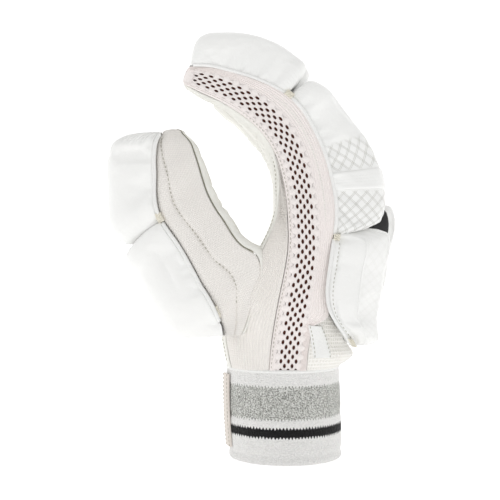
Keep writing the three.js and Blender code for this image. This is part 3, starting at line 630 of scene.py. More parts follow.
def stripes(tree, pitch, slope=0.0, along=False):
    """Even lines over the panel's own surface, pitch mm apart: 0 between two lines and 0.5 on one."""
    surface = add(tree, "ShaderNodeSeparateXYZ", None, {0: add(tree, "ShaderNodeTexCoord").outputs["UV"]})
    first, second = surface.outputs[int(along)], surface.outputs[1 - int(along)]
    run = add(tree, "ShaderNodeMath", {"operation": "MULTIPLY_ADD"}, {0: second, 1: slope, 2: first})
    turns = add(tree, "ShaderNodeMath", {"operation": "DIVIDE"}, {0: run, 1: pitch})
    return add(tree, "ShaderNodeMath", {"operation": "PINGPONG"}, {0: turns, 1: 0.5})


def smooth_leather(tree, base):
    """A drummed grain of 0.9 mm, and broad soft clouds where the filling shows."""
    tint = add(tree, "ShaderNodeMix", {"data_type": "RGBA"},
               {0: mottle(tree, 0.02), 6: base, 7: darker(base, 0.94)})
    height = add(tree, "ShaderNodeMath", {"operation": "MULTIPLY_ADD"},
                 {0: pebbled(tree, 0.0009), 1: -0.3, 2: mottle(tree, 0.006, 2.0)})
    return tint.outputs[2], height, 0.00025


def quilted_leather(tree, base):
    """The same leather, heat-pressed with double diamond lines where the attribute quilt is 1, the lines
    darkened with painted shade of their grooves.
    """
    tint, height, depth = smooth_leather(tree, base)
    pitch = bpy.context.scene.glove_sizes.quilt / MM
    pair = []
    for slope in (1.2, -1.2):
        line = stripes(tree, pitch, slope)
        off = add(tree, "ShaderNodeMath", {"operation": "SUBTRACT"}, {0: line, 1: 0.08})
        away = add(tree, "ShaderNodeMath", {"operation": "ABSOLUTE"}, {0: off})
        pair.append(add(tree, "ShaderNodeMath", {"operation": "SUBTRACT"}, {0: 0.024, 1: away}))
    nearest = add(tree, "ShaderNodeMath", {"operation": "MAXIMUM"}, {0: pair[0], 1: pair[1]})
    groove = add(tree, "ShaderNodeMath", {"operation": "MULTIPLY", "use_clamp": True},
                 {0: nearest, 1: 60.0})
    mask = add(tree, "ShaderNodeAttribute", {"attribute_name": "quilt"}).outputs["Fac"]
    shown = add(tree, "ShaderNodeMath", {"operation": "MULTIPLY"}, {0: groove, 1: mask})
    share = add(tree, "ShaderNodeMath", {"operation": "MULTIPLY"}, {0: shown, 1: 0.8})
    # Painted shade: the pressed lines are darkened towards the groove colour.
    dark = add(tree, "ShaderNodeMix", {"data_type": "RGBA"},
               {0: share, 6: tint, 7: (*bpy.context.scene.glove_colours.quilt_groove_shade, 1)})
    pressed = add(tree, "ShaderNodeMath", {"operation": "MULTIPLY_ADD"}, {0: shown, 1: -0.4, 2: height})
    return dark.outputs[2], pressed, 0.0003


def soft_leather(tree, base):
    """Matt sheepskin: a fine nap and soft wrinkles 4 mm apart."""
    tint = add(tree, "ShaderNodeMix", {"data_type": "RGBA"},
               {0: mottle(tree, 0.011), 6: base, 7: darker(base, 0.9)})
    height = add(tree, "ShaderNodeMath", {"operation": "MULTIPLY_ADD"},
                 {0: pebbled(tree, 0.0007), 1: -0.3, 2: mottle(tree, 0.004, 4.0)})
    return tint.outputs[2], height, 0.0003


def ribbed_cotton(tree, base):
    """Rib knit: valleys between ribs darkened with painted shade, and loops along each rib, drawn 1.2 mm
    long to show.
    """
    rib = stripes(tree, bpy.context.scene.glove_sizes.rib_pitch / MM)
    # Painted shade: the valleys between the ribs are darkened.
    valley = add(tree, "ShaderNodeMath", {"operation": "MULTIPLY_ADD", "use_clamp": True},
                 {0: rib, 1: -1.0, 2: 0.5})
    tint = add(tree, "ShaderNodeMix", {"data_type": "RGBA"}, {0: valley, 6: base, 7: darker(base, 0.84)})
    fleck = add(tree, "ShaderNodeMix", {"data_type": "RGBA", "blend_type": "MULTIPLY"},
                {0: mottle(tree, 0.0014), 6: tint.outputs[2], 7: darker((1, 1, 1), 0.93)})
    height = add(tree, "ShaderNodeMath", {"operation": "ADD"}, {0: stripes(tree, 1.2, along=True),
                                                               1: mottle(tree, 0.001)})
    return fleck.outputs[2], height, 0.0002


def twill_cotton(tree, base):
    """Twill: diagonal lines 1.7 mm apart, drawn coarse enough to show, with painted shade where the weave
    lies low.
    """
    line = stripes(tree, 1.7, 0.7)
    yarn = stripes(tree, 1.1, along=True)
    weave = add(tree, "ShaderNodeMath", {"operation": "ADD"}, {0: line, 1: yarn})
    # Painted shade: the colour darkens where the weave's height is low.
    tint = add(tree, "ShaderNodeMix", {"data_type": "RGBA"}, {0: weave, 6: darker(base, 0.9), 7: base})
    fleck = add(tree, "ShaderNodeMix", {"data_type": "RGBA", "blend_type": "MULTIPLY"},
                {0: mottle(tree, 0.0016), 6: tint.outputs[2], 7: darker((1, 1, 1), 0.94)})
    return fleck.outputs[2], weave, 0.0003


def waffle_cotton(tree, base):
    """Twill, which turns into white waffle knit 2.4 mm wide beside the cuff, its hollows darkened with
    painted shade.
    """
    cloth, weave, depth = twill_cotton(tree, base)
    surface = add(tree, "ShaderNodeSeparateXYZ", None, {0: add(tree, "ShaderNodeTexCoord").outputs["UV"]})
    near = add(tree, "ShaderNodeMapRange", None, {0: surface.outputs[1], 1: 34.0, 2: 31.0})
    lines = [stripes(tree, 2.4), stripes(tree, 2.4, along=True)]
    pocket = add(tree, "ShaderNodeMath", {"operation": "MINIMUM"}, {0: lines[0], 1: lines[1]})
    hollow = add(tree, "ShaderNodeMath", {"operation": "MULTIPLY"}, {0: pocket, 1: 2.0})
    colours = bpy.context.scene.glove_colours
    # Painted shade: the sunk hollows take the darker hollow colour.
    white = add(tree, "ShaderNodeMix", {"data_type": "RGBA"},
                {0: hollow, 6: (*colours.waffle, 1), 7: (*colours.hollow, 1)})
    tint = add(tree, "ShaderNodeMix", {"data_type": "RGBA"}, {0: near, 6: cloth, 7: white.outputs[2]})
    sunk = add(tree, "ShaderNodeMath", {"operation": "MULTIPLY"}, {0: hollow, 1: -1.5})
    height = add(tree, "ShaderNodeMix", {"data_type": "FLOAT"}, {0: near, 2: weave, 3: sunk})
    return tint.outputs[2], height, depth


def mesh_yarn(tree, base):
    """Knitted spacer mesh, its hole walls darkened towards a reddish brown with painted shade, most where
    they lie deep.
    """
    fuzz = mottle(tree, 0.0009)
    tint = add(tree, "ShaderNodeMix", {"data_type": "RGBA"}, {0: fuzz, 6: base, 7: darker(base, 0.84)})
    # Painted shade: the hole walls take the darker colour, as far as the attribute deep gives.
    deep = add(tree, "ShaderNodeAttribute", {"attribute_name": "deep"}).outputs["Fac"]
    inner = add(tree, "ShaderNodeMix", {"data_type": "RGBA"},
                {0: deep, 6: tint.outputs[2], 7: (*bpy.context.scene.glove_colours.core, 1)})
    return inner.outputs[2], fuzz, 0.0002


def terry_knit(tree, base):
    """Looped knit in loops of 1.1 mm, darkened between the loops with painted shade, with a heather-grey
    band and a black stripe with zigzag edges.
    """
    sizes = bpy.context.scene.glove_sizes
    surface = add(tree, "ShaderNodeSeparateXYZ", None, {0: add(tree, "ShaderNodeTexCoord").outputs["UV"]})
    tooth = add(tree, "ShaderNodeMath", {"operation": "MULTIPLY_ADD"}, {0: stripes(tree, 2.1), 1: -3.0,
                                                                       2: surface.outputs[1]})
    ragged = add(tree, "ShaderNodeMath", {"operation": "MULTIPLY_ADD"},
                 {0: mottle(tree, 0.0012), 1: -1.6, 2: tooth})
    top = sizes.cuff_height / MM
    bands = []
    for low, high in KNIT_BANDS:
        above = add(tree, "ShaderNodeMath", {"operation": "GREATER_THAN"}, {0: ragged, 1: top * low})
        below = add(tree, "ShaderNodeMath", {"operation": "LESS_THAN"}, {0: ragged, 1: top * high})
        bands.append(add(tree, "ShaderNodeMath", {"operation": "MULTIPLY"}, {0: above, 1: below}))
    place = add(tree, "ShaderNodeMapping", None, {"Vector": add(tree, "ShaderNodeTexCoord").outputs["UV"],
                                                  "Scale": (0.9, 0.9, 0.9)})
    loops = add(tree, "ShaderNodeTexVoronoi", None, {"Vector": place, "Scale": 1.0, "Randomness": 0.7})
    # Painted shade: the white knit darkens between its loops, where they lie low.
    white = add(tree, "ShaderNodeMix", {"data_type": "RGBA"}, {0: loops, 6: base, 7: darker(base, 0.8)})
    speck = add(tree, "ShaderNodeMapRange", None, {0: mottle(tree, 0.0007, 2.0), 1: 0.4, 2: 0.6})
    colours = bpy.context.scene.glove_colours
    heather = add(tree, "ShaderNodeMix", {"data_type": "RGBA"},
                  {0: speck, 6: (*colours.heather, 1), 7: (*colours.fleck, 1)})
    grey = add(tree, "ShaderNodeMix", {"data_type": "RGBA"}, {0: bands[1], 6: white.outputs[2],
                                                             7: heather.outputs[2]})
    black = add(tree, "ShaderNodeMix", {"data_type": "RGBA"},
                {0: bands[0], 6: grey.outputs[2], 7: (*colours.stripe, 1)})
    height = add(tree, "ShaderNodeMath", {"operation": "MULTIPLY_ADD"},
                 {0: loops, 1: -1.0, 2: mottle(tree, 0.0009)})
    return black.outputs[2], height, 0.0006


def plain_cloth(tree, base):
    """Felt, tape and welt: a faint grain of 0.7 mm."""
    fuzz = mottle(tree, 0.0007)
    tint = add(tree, "ShaderNodeMix", {"data_type": "RGBA"}, {0: fuzz, 6: base, 7: darker(base, 0.84)})
    return tint.outputs[2], fuzz, 0.00015


# What each is made of: its colour, its roughness, its surface, and how much fuzz catches the light.
FINISHES = {
    "smooth_leather": ("leather", 0.4, smooth_leather, 0),  # pigmented cowhide: a soft sheen on white
    "quilted_leather": ("leather", 0.4, quilted_leather, 0),  # the same, pressed with diamonds
    "soft_leather": ("palm", 0.75, soft_leather, 0),  # sheepskin palm: matt and creased
    "black_leather": ("stripe", 0.45, smooth_leather, 0),  # dyed cowhide: black with a sheen
    "ribbed_cotton": ("cotton", 0.95, ribbed_cotton, 0.15),  # rib knit: soft lines along the hand
    "twill_cotton": ("cotton", 0.95, twill_cotton, 0.15),  # twill: diagonal lines
    "waffle_cotton": ("cotton", 0.95, waffle_cotton, 0.1),  # twill and waffle knit: soft square hollows
    "mesh_yarn": ("netting", 0.9, mesh_yarn, 0.1),  # polyester spacer mesh: matt, slightly pink
    # A dark sheet under the mesh: painted shade seen through the holes.
    "mesh_core": ("shade", 0.95, plain_cloth, 0),  # the dark layer that shows through the holes
    "terry_knit": ("knit", 0.97, terry_knit, 0.03),  # towelling: dull and loopy
    "cotton_thread": ("thread", 0.8, plain_cloth, 0),  # waxed cotton: fine dull beads
    "seam_thread": ("seam", 0.8, plain_cloth, 0),  # heavy waxed thread: dark and dull
    "leather_welt": ("leather", 0.5, plain_cloth, 0),  # a folded strip of the pads' leather
    "wool_felt": ("trim", 0.95, plain_cloth, 0.3),  # cream felt: fuzzy
    "cotton_tape": ("tape", 0.9, plain_cloth, 0),  # woven tape: flat and dull
    "satin_tape": ("leather", 0.55, plain_cloth, 0),  # the blank tab: smooth
}
made_finishes = {}


def finish_of(name):
    """The named material, made once."""
    if name not in made_finishes:
        key, roughness, paint, fuzz = FINISHES[name]
        finish = bpy.data.materials.new(name)
        finish.use_nodes = True
        tree = finish.node_tree
        tree.nodes.clear()
        tint, height, depth = paint(tree, (*getattr(bpy.context.scene.glove_colours, key), 1))
        bump = add(tree, "ShaderNodeBump", None, {"Height": height, "Distance": depth})
        body = add(tree, "ShaderNodeBsdfPrincipled", None, {"Base Color": tint, "Roughness": roughness,
                                                            "Normal": bump, "Sheen Weight": fuzz})
        add(tree, "ShaderNodeOutputMaterial", None, {0: body})
        made_finishes[name] = finish
    return made_finishes[name]


def new_tree(name, inputs):
    """A Geometry Nodes tree with named inputs, each as name, socket type and default."""
    tree = bpy.data.node_groups.new(name, "GeometryNodeTree")
    tree.interface.new_socket("Geometry", in_out="INPUT", socket_type="NodeSocketGeometry")
    for label, kind, default in inputs:
        socket = tree.interface.new_socket(label, in_out="INPUT", socket_type=kind)
        if default is not None:
            socket.default_value = default
    tree.interface.new_socket("Geometry", in_out="OUTPUT", socket_type="NodeSocketGeometry")
    return tree, add(tree, "NodeGroupInput").outputs


def closed_tree(tree, geometry, finish):
    real = add(tree, "GeometryNodeRealizeInstances", None, {0: geometry})
    painted = add(tree, "GeometryNodeSetMaterial", None, {"Geometry": real, "Material": finish})
    add(tree, "NodeGroupOutput", None, {0: painted})
    return tree


def stitch_tree():
    """Beads of thread at even steps along the seams."""
    tree, given = new_tree("stitches", [
        ("Pitch", "NodeSocketFloat", 0.0024), ("Stitch", "NodeSocketFloat", 0.0016),
        ("Thread", "NodeSocketFloat", 0.0002), ("Material", "NodeSocketMaterial", None),
    ])
    seam = add(tree, "GeometryNodeMeshToCurve", None, {0: given["Geometry"]})
    spots = add(tree, "GeometryNodeCurveToPoints", {"mode": "LENGTH"}, {0: seam, "Length": given["Pitch"]})
    bead = add(tree, "GeometryNodeMeshUVSphere", None, {"Segments": 6, "Rings": 5, "Radius": 1.0})
    half = add(tree, "ShaderNodeMath", {"operation": "MULTIPLY"}, {0: given["Stitch"], 1: 0.5})
    size = add(tree, "ShaderNodeCombineXYZ", None, {0: given["Thread"], 1: given["Thread"], 2: half})
    run = add(tree, "GeometryNodeInstanceOnPoints", None, {
        "Points": spots, "Instance": bead, "Rotation": spots.outputs["Rotation"], "Scale": size})
    return closed_tree(tree, run, given["Material"])


def welt_tree():
    """A round cord along the seams."""
    tree, given = new_tree("welt", [
        ("Radius", "NodeSocketFloat", 0.0007), ("Material", "NodeSocketMaterial", None),
    ])
    seam = add(tree, "GeometryNodeMeshToCurve", None, {0: given["Geometry"]})
    ring = add(tree, "GeometryNodeCurvePrimitiveCircle", None, {"Resolution": 8, "Radius": given["Radius"]})
    cord = add(tree, "GeometryNodeCurveToMesh", None, {
        "Curve": seam, "Profile Curve": ring, "Fill Caps": True})
    return closed_tree(tree, cord, given["Material"])


def rib_tree():
    """Round ribs over a panel, along the lines where its attribute across repeats."""
    tree, given = new_tree("ribs", [
        ("Pitch", "NodeSocketFloat", 0.0017), ("Depth", "NodeSocketFloat", 0.0003),
        ("Material", "NodeSocketMaterial", None),
    ])
    across = add(tree, "GeometryNodeInputNamedAttribute", {"data_type": "FLOAT"}, {"Name": "across"})
    gate = add(tree, "GeometryNodeInputNamedAttribute", {"data_type": "FLOAT"}, {"Name": "gate"})
    turns = add(tree, "ShaderNodeMath", {"operation": "DIVIDE"}, {0: across, 1: given["Pitch"]})
    angle = add(tree, "ShaderNodeMath", {"operation": "MULTIPLY"}, {0: turns, 1: 2 * math.pi})
    wave = add(tree, "ShaderNodeMath", {"operation": "COSINE"}, {0: angle})
    height = add(tree, "ShaderNodeMath", {"operation": "MULTIPLY"}, {0: wave, 1: given["Depth"]})
    kept = add(tree, "ShaderNodeMath", {"operation": "MULTIPLY"}, {0: height, 1: gate})
    push = add(tree, "ShaderNodeVectorMath", {"operation": "SCALE"},
               {0: add(tree, "GeometryNodeInputNormal"), "Scale": kept})
    moved = add(tree, "GeometryNodeSetPosition", None, {"Geometry": given["Geometry"], "Offset": push})
    return closed_tree(tree, moved, given["Material"])


def lattice_tree():
    """Copies of one mesh cell in rows, where every second row may lie one row higher."""
    tree, given = new_tree("lattice", [
        ("Columns", "NodeSocketInt", 3), ("Column pitch", "NodeSocketFloat", 0.0038),
        ("Rows", "NodeSocketInt", 37), ("Row pitch", "NodeSocketFloat", 0.0053),
        ("Lead", "NodeSocketFloat", 0.0), ("Material", "NodeSocketMaterial", None),
    ])
    steps = [add(tree, "ShaderNodeMath", {"operation": "SUBTRACT"}, {0: given[name], 1: 1.0})
             for name in ("Columns", "Rows")]
    wide = add(tree, "ShaderNodeMath", {"operation": "MULTIPLY"}, {0: given["Column pitch"], 1: steps[0]})
    tall = add(tree, "ShaderNodeMath", {"operation": "MULTIPLY"}, {0: given["Row pitch"], 1: steps[1]})
    spots = add(tree, "GeometryNodeMeshGrid", None, {
        "Size X": wide, "Size Y": tall, "Vertices X": given["Columns"], "Vertices Y": given["Rows"]})
    rise = add(tree, "ShaderNodeMath", {"operation": "MULTIPLY_ADD"}, {0: tall, 1: 0.5, 2: given["Lead"]})
    move = add(tree, "ShaderNodeCombineXYZ", None, {1: rise})
    placed = add(tree, "GeometryNodeTransform", None, {"Geometry": spots, "Translation": move})
    cells = add(tree, "GeometryNodeInstanceOnPoints", None, {
        "Points": placed, "Instance": given["Geometry"]})
    return closed_tree(tree, cells, given["Material"])


def through(tree, mesh, name, **values):
    """What a tree makes of a mesh, as a plain object. Inputs are set by their sockets' identifiers."""
    source = bpy.data.objects.new(name + "_source", mesh)
    bpy.context.scene.collection.objects.link(source)
    modifier = source.modifiers.new("nodes", "NODES")
    modifier.node_group = tree
    for item in tree.interface.items_tree:
        key = item.name.replace(" ", "_").lower()
        if item.in_out == "INPUT" and key in values:
            modifier[item.identifier] = values[key]
    graph = bpy.context.evaluated_depsgraph_get()
    made = bpy.data.meshes.new_from_object(source.evaluated_get(graph), depsgraph=graph)
    made.name = name
    source.modifiers.remove(modifier)
    bpy.data.objects.remove(source)
    piece = bpy.data.objects.new(name, made)
    bpy.context.scene.collection.objects.link(piece)
    return piece


def evenly(path, step):
    """The same line with points step apart."""
    gaps = np.linalg.norm(np.diff(path, axis=0), axis=1)
    run = np.append(0, np.cumsum(gaps))
    marks = np.linspace(0, run[-1], max(int(run[-1] / step), 2) + 1)
    return np.stack([np.interp(marks, run, path[:, k]) for k in range(3)], -1)


def lines_mesh(name, paths, step):
    """Open lines of points as one mesh of edges."""
    points, edges = [], []
    for path in paths:
        path = evenly(path, step)
        edges.extend((len(points) + i, len(points) + i + 1) for i in range(len(path) - 1))
        points.extend(path.tolist())
    mesh = bpy.data.meshes.new(name)
    mesh.from_pydata(points, edges, [])
    return mesh


def stitched(name, paths, slot):
    s = bpy.context.scene.glove_sizes
    piece = through(stitch_tree(), lines_mesh(name, paths, 0.001), name, pitch=s.stitch_pitch,
                    stitch=s.stitch, thread=s.thread, material=finish_of("cotton_thread"))
    return finished(piece, slot)


def corded(name, paths, radius, finish, slot):
    piece = through(welt_tree(), lines_mesh(name, paths, 0.0015), name, radius=radius,
                    material=finish_of(finish))
    return finished(piece, slot)


def interpolate(grid, rows, columns):
    """Points of a grid at places between its rows and columns."""
    i = np.clip(np.floor(rows).astype(int), 0, grid.shape[0] - 2)
    j = np.clip(np.floor(columns).astype(int), 0, grid.shape[1] - 2)
    a, b = (rows - i)[..., None], (columns - j)[..., None]
    low = grid[i, j] * (1 - b) + grid[i, j + 1] * b
    return low * (1 - a) + (grid[i + 1, j] * (1 - b) + grid[i + 1, j + 1] * b) * a


def normals_of(grid):
    """Unit normals of a grid of points, away from its middle."""
    n = np.cross(np.gradient(grid, axis=1), np.gradient(grid, axis=0))
    n /= np.maximum(np.linalg.norm(n, axis=-1, keepdims=True), 1e-12)
    return n if np.mean(np.sum(n * (grid - grid.mean((0, 1))), -1)) > 0 else -n


class Pad:
    """A leather roll on the back of a finger, of the thumb or of the hand."""

    CAP = 0.0012  # how far the filling may push a point
    END = 0.0022  # length over which an end closes
    FILL_STEP = 0.0024  # how coarse the cover is while it is filled
    FILL_FRAMES = 20  # how long the filling settles
    BASE_COLUMNS = 7

    def __init__(self, limb, rows, half, start, end, rise, section, gap):
        self.limb, self.rows, self.section = limb, rows, section
        self.half, self.rise = half - 0.4 * self.CAP, rise - 0.6 * self.CAP
        self.start, self.end, self.gap = start, end, gap
        self.long = (end - start) * limb.reach
        self.push = None

    def shape(self, v, c):
        """A point of the plain form. c runs from -1 at the near foot over 0 on top to 1 at the far foot."""
        u = (v - self.start) / (self.end - self.start)
        near_end = np.clip(1 - np.minimum(u, 1 - u) * self.long / self.END, 0, 1)
        close = (1 - near_end**2.5) ** (1 / 2.5)
        rise = smooth(self.rows["u"], self.rows["rise"], u) * self.rise * close
        half = smooth(self.rows["u"], self.rows["half"], u) * self.half * (0.88 + 0.12 * close)
        steps = np.linspace(0, 1, len(self.section["y"]))
        y = smooth(steps, self.section["y"], 1 - np.abs(c)) * np.sign(c)
        d = smooth(steps, self.section["d"], 1 - np.abs(c))
        lead = smooth(self.rows["u"], self.rows["slant"], u) * d * d
        return self.limb.at(v + lead, y * half, self.limb.section(v)[1] + self.gap + d * rise)

    def marks(self, size):
        """Places along and round the pad, size apart and closer at the ends."""
        u = np.linspace(0, 1, max(int(self.long / size), 6) + 1)
        ends = self.END / self.long * np.array([0.02, 0.1, 0.3])
        u = np.unique(np.concatenate([u, ends, 1 - ends]))
        count = max(int((self.rise + self.half) / size), 6)
        return self.start + u * (self.end - self.start), np.linspace(-1, 1, 2 * count + 1)

    def fill(self):
        """Fills the cover: cloth under pressure, held at its sewn foot. Keeps how far each point moves."""
        v, c = self.marks(self.FILL_STEP)
        vv, cc = np.meshgrid(v, c, indexing="ij")
        top = self.shape(vv, cc)
        rows, columns = vv.shape
        share = np.linspace(0, 1, columns)[None, :, None]
        base = top[:, :1] * (1 - share) + top[:, -1:] * share
        n = rows * columns
        mesh = bpy.data.meshes.new("fill")
        quads = np.concatenate([quads_of(rows, columns), quads_of(rows, columns, n)[:, ::-1]])
        points = np.concatenate([top.reshape(-1, 3), base.reshape(-1, 3)])
        mesh.from_pydata(points.tolist(), [], quads.tolist())
        layer = mesh.attributes.new("spot", "INT", "POINT")
        layer.data.foreach_set("value", np.arange(2 * n, dtype=np.int32))
        work = bmesh.new()
        work.from_mesh(mesh)
        bmesh.ops.remove_doubles(work, verts=work.verts, dist=1e-5)
        bmesh.ops.recalc_face_normals(work, faces=work.faces)
        work.to_mesh(mesh)
        work.free()
        cover = bpy.data.objects.new("fill", mesh)
        scene = bpy.context.scene
        scene.collection.objects.link(cover)
        spots = np.zeros(len(mesh.vertices), np.int32)
        mesh.attributes["spot"].data.foreach_get("value", spots)
        column = spots % columns
        sewn = np.where((spots >= n) | (column <= 1) | (column >= columns - 2))[0]
        cover.vertex_groups.new(name="sewn").add(sewn.tolist(), 1.0, "REPLACE")
        cloth = cover.modifiers.new("filling", "CLOTH")
        cloth.settings.vertex_group_mass = "sewn"
        cloth.settings.effector_weights.gravity = 0
        cloth.settings.use_pressure = True
        cloth.settings.uniform_pressure_force = 4
        cloth.settings.tension_stiffness = 25
        cloth.settings.compression_stiffness = 12
        cloth.settings.shear_stiffness = 8
        cloth.settings.bending_stiffness = 1.5
        cloth.settings.shrink_min = -0.035
        cloth.point_cache.frame_end = self.FILL_FRAMES
        for number in range(1, self.FILL_FRAMES + 1):
            scene.frame_set(number)
        settled = cover.evaluated_get(bpy.context.evaluated_depsgraph_get()).to_mesh()
        after, before = np.zeros(len(spots) * 3), np.zeros(len(spots) * 3)
        settled.vertices.foreach_get("co", after)
        mesh.vertices.foreach_get("co", before)
        change = (after - before).reshape(-1, 3)
        size = np.linalg.norm(change, axis=1, keepdims=True)
        change *= self.CAP * np.tanh(size / self.CAP) / np.maximum(size, 1e-9)
        push = np.zeros((2 * n, 3))
        push[spots] = change
        self.push = (v, c, push[:n].reshape(rows, columns, 3))
        bpy.data.objects.remove(cover)
        scene.frame_set(1)

    def skin_of(self, v, c):
        """Points of the filled pad."""
        shape = self.shape(v, c)
        if self.push is None:
            return shape
        places, across, push = self.push
        rows = np.interp(v, places, np.arange(len(places)))
        columns = np.interp(c, across, np.arange(len(across)))
        return shape + interpolate(push, rows, columns)

    def part(self, size, relief, quilt):
        """The finished skin with its flat base, and relief in metres along the normals."""
        v, c = self.marks(size)
        vv, cc = np.meshgrid(v, c, indexing="ij")
        skin = self.skin_of(vv, cc)
        run = np.linalg.norm(np.diff(skin, axis=1), axis=-1)
        girth = np.concatenate([np.zeros((len(v), 1)), np.cumsum(run, axis=1)], axis=1)
        middle = len(v) // 2
        across = np.broadcast_to(girth[middle] - girth[middle, len(c) // 2], vv.shape)
        foot = np.minimum(girth, girth[:, -1:] - girth)
        end = np.minimum(vv - self.start, self.end - vv) * self.limb.reach
        along = vv * self.limb.reach
        normal = normals_of(skin)
        ease = np.clip(end / 0.0015, 0, 1) * np.clip(foot / 0.0008, 0, 1)
        skin = skin + normal * (relief(vv, cc, along, across, foot, end) * ease)[..., None]
        self.skin = (v, c, skin, normal)
        share = np.linspace(0, 1, self.BASE_COLUMNS)[None, :, None]
        base = skin[:, :1] * (1 - share) + skin[:, -1:] * share
        n, rows = skin[..., 0].size, len(v)
        quads = np.concatenate([quads_of(rows, len(c)), quads_of(rows, self.BASE_COLUMNS, n)[:, ::-1]])
        uv = np.stack([across, along], -1).reshape(-1, 2) / MM
        base_uv = np.stack(np.broadcast_arrays(share[..., 0] * self.half * 2, along[:, :1]), -1)
        base_uv = base_uv.reshape(-1, 2) / MM
        mask = np.concatenate([quilt(vv, cc).reshape(-1), np.zeros(rows * self.BASE_COLUMNS)])
        return {"points": np.concatenate([skin.reshape(-1, 3), base.reshape(-1, 3)]), "quads": quads,
                "uv": np.concatenate([uv, base_uv]), "quilt": mask}

    def over(self, v, c, lift):
        """Points that lie lift over the finished skin."""
        places, across, skin, normal = self.skin
        rows = np.interp(v, places, np.arange(len(places)))
        columns = np.interp(c, across, np.arange(len(across)))
        out = interpolate(skin, rows, columns)
        return out + interpolate(normal, rows, columns) * np.asarray(lift)[..., None]


def domed(count, cap, end=1.5705):
    """Places along a limb: even up to its end, and closer over its rounded tip."""
    return np.concatenate([np.linspace(0, 1, count), 1 + DOME * np.sin(np.linspace(0.2, end, cap))])


def form_of(context):
    return Form(context.scene.glove_sizes)


class Cuff(bpy.types.Operator):
    """Knits the cuff as one tube with a rolled rim, and sews its tape on"""
    bl_idname = "glove.cuff"
    bl_label = "Cuff"

    def execute(self, context):
        s = context.scene.glove_sizes
        turns = np.linspace(0, 2 * np.pi, 241)
        height, wall = s.cuff_height, s.cuff_wall
        rim = np.linspace(0, np.pi, 9)[1:-1]
        lip = wall / 2
        outer = np.linspace(lip, height - lip, 56)
        inner = outer[::-1]
        z = np.concatenate([outer, height - lip + lip * np.sin(rim), inner, lip - lip * np.sin(rim)])
        off = np.concatenate([
            0 * outer, -lip + lip * np.cos(rim), 0 * inner - wall, -lip - lip * np.cos(rim)])
        z, off = np.append(z, z[0]), np.append(off, off[0])
        zz, tt = np.meshgrid(z, turns, indexing="ij")
        skin = np.broadcast_to(off[:, None], zz.shape)
        slump = 0.0009 * np.sin(2 * tt + 0.6) * np.sin(np.pi * zz / height)
        hem = -0.0006 * np.exp(-((zz - 0.09 * height) / 0.0016) ** 2) - 0.0005 * np.exp(
            -((zz - 0.5 * height) / 0.002) ** 2)
        out = skin + np.where(skin > -wall / 2, slump + hem - 0.0004, slump)
        lean = 0.0016 * (1 - zz / height)
        x = (s.cuff_depth / 2 + out) * np.cos(tt) + lean
        points = np.stack([x, (s.cuff_width / 2 + out) * np.sin(tt), zz], -1)
        girth = np.pi * (s.cuff_depth + s.cuff_width) / 2
        uv = np.stack([tt / (2 * np.pi) * girth, zz], -1) / MM
        part = {"points": points.reshape(-1, 3), "quads": quads_of(*zz.shape), "uv": uv.reshape(-1, 2)}
        finished(build("cuff_knit", [part], ["terry_knit"]), "knit", "cuff")

        ring = np.stack([0.484 * s.cuff_depth * np.cos(turns), 0.486 * s.cuff_width * np.sin(turns),
                         height - 0.0004 + 0 * turns], -1)
        corded("cuff_seam", [ring], 0.0011, "leather_welt", "knit")

        def tape(v, w, lift):
            angle = np.radians(TAPE["start"] + (TAPE["end"] - TAPE["start"]) * w)
            bulge = 0.0017 + lift + 0.0006 * np.sin(np.pi * v)
            x = (s.cuff_depth / 2 + bulge) * np.cos(angle) + 0.0016 * (1 - v)
            z = s.cuff_height * (TAPE["from"] + (TAPE["to"] - TAPE["from"]) * v)
            return np.stack([x, (s.cuff_width / 2 + bulge) * np.sin(angle), z], -1)

        part = sheet(tape, np.linspace(0, 1, 36), 0.0095, 0.043, 0.0011)
        finished(build("cuff_tape_strip", [part], ["cotton_tape"]), "cotton", "cuff_tape")
        for side in (0.12, 0.88):
            v = np.linspace(0.02, 0.98, 60)
            path = tape(v, side + 0 * v, 0.0001 + 0 * v)
            stitched("cuff_tape_seam_" + str(int(side * 100)), [path], "cotton")
        return {"FINISHED"}


class Palm(bpy.types.Operator):
    """Cuts the palm leather with its four finger fronts from one skin, and bends it round the hand"""
    bl_idname = "glove.palm"
    bl_label = "Palm"

    def execute(self, context):
        s = context.scene.glove_sizes
        form = form_of(context)
        places = domed(190, 8)

        def far(v):
            return SEAMS["outer_palm"] * form.hand.section(v)[0]

        def relief(v, w):
            wave = 0.0003 * np.sin(v * 41 + 5 * w) * np.sin(7 * w + 1)
            for place, deep, wide in FINGER_CREASES:
                bent = place + 0.006 * np.sin(3.1 * w + place * 60)
                fade = np.sin(np.pi * np.clip(w, 0, 1)) ** 0.5
                wave = wave - deep * np.exp(-((v - bent) / wide) ** 2) * fade
            return wave

        parts = []
        for i, surface in enumerate(lobes(form, -1, form.near_palm, far, SEAMS["finger_palm"])):
            joined = (0 if i == 0 else PART["from"], 0 if i == 3 else PART["from"])
            width = s.finger_width * 1.5
            part = sheet(surface, places, width, s.hand_reach, s.panel_wall, relief=relief, joined=joined)
            parts.append(without(part, form.thumb))
        fronts = [name + "_front" for name in FINGERS]
        finished(build("palm_skin", parts, ["soft_leather"]), "palm_leather", "palm_leather", *fronts)
        return {"FINISHED"}


